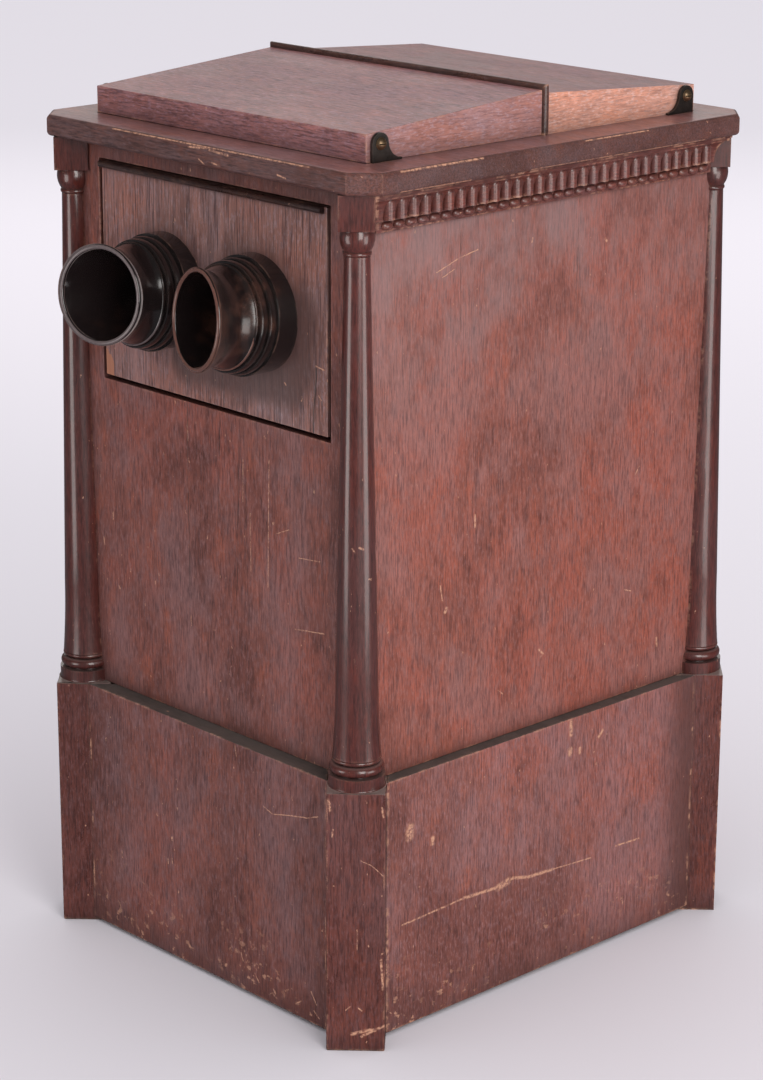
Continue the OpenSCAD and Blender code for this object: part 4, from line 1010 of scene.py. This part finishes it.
class STEREOSCOPE_OT_pivots(bpy.types.Operator):
    """Ears and pivot screws of the lids"""
    bl_idname = "stereoscope.pivots"
    bl_label = "Lid pivots"

    def execute(self, context):
        colours = context.scene.stereoscope_colours
        edge = context.scene.stereoscope_sizes.metal_edge
        ear = metal("ear_bronze", colours.bronze, 0.42, 0.55, 0.4)
        screw = metal("pivot_brass", colours.brass, 0.34, 0.55)
        for end in ("front", "rear"):
            eased_copy(end + "_lid_ears", ear, edge)
            eased_copy(end + "_pivot_screws", screw)
        return {"FINISHED"}


class STEREOSCOPE_OT_panel(bpy.types.Operator):
    """Eyepiece panel with its bead, runners, guides and septum"""
    bl_idname = "stereoscope.panel"
    bl_label = "Eyepiece panel"

    def execute(self, context):
        colours = context.scene.stereoscope_colours
        edge = context.scene.stereoscope_sizes.board_edge
        # The wider corner darkening and the dark strokes paint the eyecups' shadow on the panel
        eased_copy("eyepiece_panel", varnished(
            "panel_varnish", ALONG_Z, body=colours.panel, marks=on_front(PANEL_CHIPS, FRONT_Y),
            cracks=on_front(PANEL_CRACKS, FRONT_Y), bald=on_front(PANEL_BALD, FRONT_Y),
            painted_shade=on_front(PANEL_CUP_SHADOWS, FRONT_Y), streaks=1.0, embers=0.3, run=0.03, corner_darkening=1.5,
            grime_and_shade=0.7), edge)
        eased_copy("panel_bead", varnished("bead_varnish", ALONG_X, body=colours.bead, gloss=0.3))
        inner = bare_wood("runner_bare", ALONG_Y, 1.0)
        for node in ("focus_runners", "left_guide", "right_guide"):
            eased_copy(node, inner, edge)
        eased_copy("septum", bare_wood("septum_black", ALONG_Y, 0.06, 0.2), edge)
        return {"FINISHED"}


class STEREOSCOPE_OT_eyecups(bpy.types.Operator):
    """Turned eyecups, their lenses and lens rings"""
    bl_idname = "stereoscope.eyecups"
    bl_label = "Eyecups and lenses"

    def execute(self, context):
        colours = context.scene.stereoscope_colours
        mouth = Vector((LENS.x + 22 * MM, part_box("left_eyecup")[0].y, LENS.z + 2 * MM))
        crack = [(0.35 * MM, mouth, mouth + Vector((0, 26 * MM, 0)))]
        left = eased_copy("left_eyecup", ebonised("left_eyecup_stain", crack, 0.12))
        right = eased_copy("right_eyecup", ebonised("right_eyecup_stain", (), 0.55))
        # The left rim's grey is rubbed wear and a painted highlight
        paint_faces(left, ebonised("left_rim_stain", crack, 0.1, colours.left_rim_wear_and_highlight), self.on_rim)
        paint_faces(right, ebonised("right_rim_stain", (), 0.5, colours.right_rim), self.on_rim)
        glass, brass = lens_glass(), metal("lens_ring_brass", colours.brass, 0.3, 0.6)
        for side in ("left", "right"):
            eased_copy(side + "_lens", glass)
            eased_copy(side + "_lens_ring", brass)
        return {"FINISHED"}

    @staticmethod
    def on_rim(face):
        return face.normal.y < -0.55 and face.center.y < RIM_Y


class STEREOSCOPE_OT_mirror(bpy.types.Operator):
    """Mirror under the front lid and its fillets"""
    bl_idname = "stereoscope.mirror"
    bl_label = "Mirror"

    def execute(self, context):
        eased_copy("light_mirror", silvered(), 0.6 * MM)
        eased_copy("mirror_fillets", bare_wood("fillet_black", ALONG_Y, 0.08, 0.2), 0.5 * MM)
        return {"FINISHED"}


class STEREOSCOPE_OT_reel(bpy.types.Operator):
    """Axle, roller, bearings and turning knob"""
    bl_idname = "stereoscope.reel"
    bl_label = "Card reel"

    def execute(self, context):
        colours = context.scene.stereoscope_colours
        brass = metal("reel_brass", colours.brass, 0.36, 0.6)
        eased_copy("axle", brass, 0.4 * MM)
        for side in ("left", "right"):
            eased_copy(side + "_bearing", brass, 0.4 * MM)
        eased_copy("card_roller", bare_wood("roller_bare", ALONG_X, 1.15), 0.5 * MM)
        eased_copy("turning_knob", ebonised("knob_stain", (), 0.4))
        return {"FINISHED"}


class STEREOSCOPE_OT_cards(bpy.types.Operator):
    """Belt of tapes, card holders and the stereo cards"""
    bl_idname = "stereoscope.cards"
    bl_label = "Cards and belt"

    def execute(self, context):
        tin = context.scene.stereoscope_colours.tin
        eased_copy("card_belt", woven_tape())
        eased_copy("card_holders", metal("holder_tin", tin, 0.45, 0.5), 0.2 * MM)
        self.map_cards(eased_copy("stereo_cards", card_board()))
        return {"FINISHED"}

    def map_cards(self, cards):
        """Lays the broad faces of each card on the whole map, width across and height up."""
        low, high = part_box("stereo_cards")
        edit(cards, "FACE")
        shape = bmesh.from_edit_mesh(cards.data)
        chart = shape.loops.layers.uv.verify()
        for face in shape.faces:
            upward = Vector((1, 0, 0)).cross(face.normal)
            heights = [corner.co.dot(upward) for corner in face.verts]
            bottom, height = min(heights), max(heights) - min(heights)
            if height < CARD_LEAST_HEIGHT:
                continue
            for loop in face.loops:
                across = (loop.vert.co.x - low.x) / (high.x - low.x)
                loop[chart].uv = (across, (loop.vert.co.dot(upward) - bottom) / height)
        bmesh.update_edit_mesh(cards.data)
        done()


class VIEW3D_PT_stereoscope(bpy.types.Panel):
    """Lists the pieces and their settings"""
    bl_label = "Cabinet Stereoscope"
    bl_space_type = "VIEW_3D"
    bl_region_type = "UI"
    bl_category = "Stereoscope"

    def draw(self, context):
        for operator in OPERATORS:
            self.layout.operator(operator.bl_idname)
        for group in SETTINGS:
            column = self.layout.column()
            for name in SETTINGS[group].__annotations__:
                column.prop(getattr(context.scene, group), name)


SETTINGS = {
    "stereoscope_sizes": StereoscopeSizes,
    "stereoscope_colours": StereoscopeColours,
    "stereoscope_stage": StereoscopeStage,
}
OPERATORS = (
    STEREOSCOPE_OT_stage, STEREOSCOPE_OT_case, STEREOSCOPE_OT_plinth, STEREOSCOPE_OT_posts,
    STEREOSCOPE_OT_top, STEREOSCOPE_OT_lids, STEREOSCOPE_OT_pivots, STEREOSCOPE_OT_panel,
    STEREOSCOPE_OT_eyecups, STEREOSCOPE_OT_mirror, STEREOSCOPE_OT_reel, STEREOSCOPE_OT_cards,
)


def register():
    for item in (*SETTINGS.values(), *OPERATORS, VIEW3D_PT_stereoscope):
        bpy.utils.register_class(item)
    for name, group in SETTINGS.items():
        setattr(bpy.types.Scene, name, PointerProperty(type=group))


def unregister():
    for name in SETTINGS:
        delattr(bpy.types.Scene, name)
    for item in (VIEW3D_PT_stereoscope, *OPERATORS, *SETTINGS.values()):
        bpy.utils.unregister_class(item)


def main():
    register()
    bpy.ops.stereoscope.stage()
    bpy.ops.stereoscope.case()
    bpy.ops.stereoscope.plinth()
    bpy.ops.stereoscope.posts()
    bpy.ops.stereoscope.top()
    bpy.ops.stereoscope.lids()
    bpy.ops.stereoscope.pivots()
    bpy.ops.stereoscope.panel()
    bpy.ops.stereoscope.eyecups()
    bpy.ops.stereoscope.mirror()
    bpy.ops.stereoscope.reel()
    bpy.ops.stereoscope.cards()


if __name__ == "__main__":
    main()
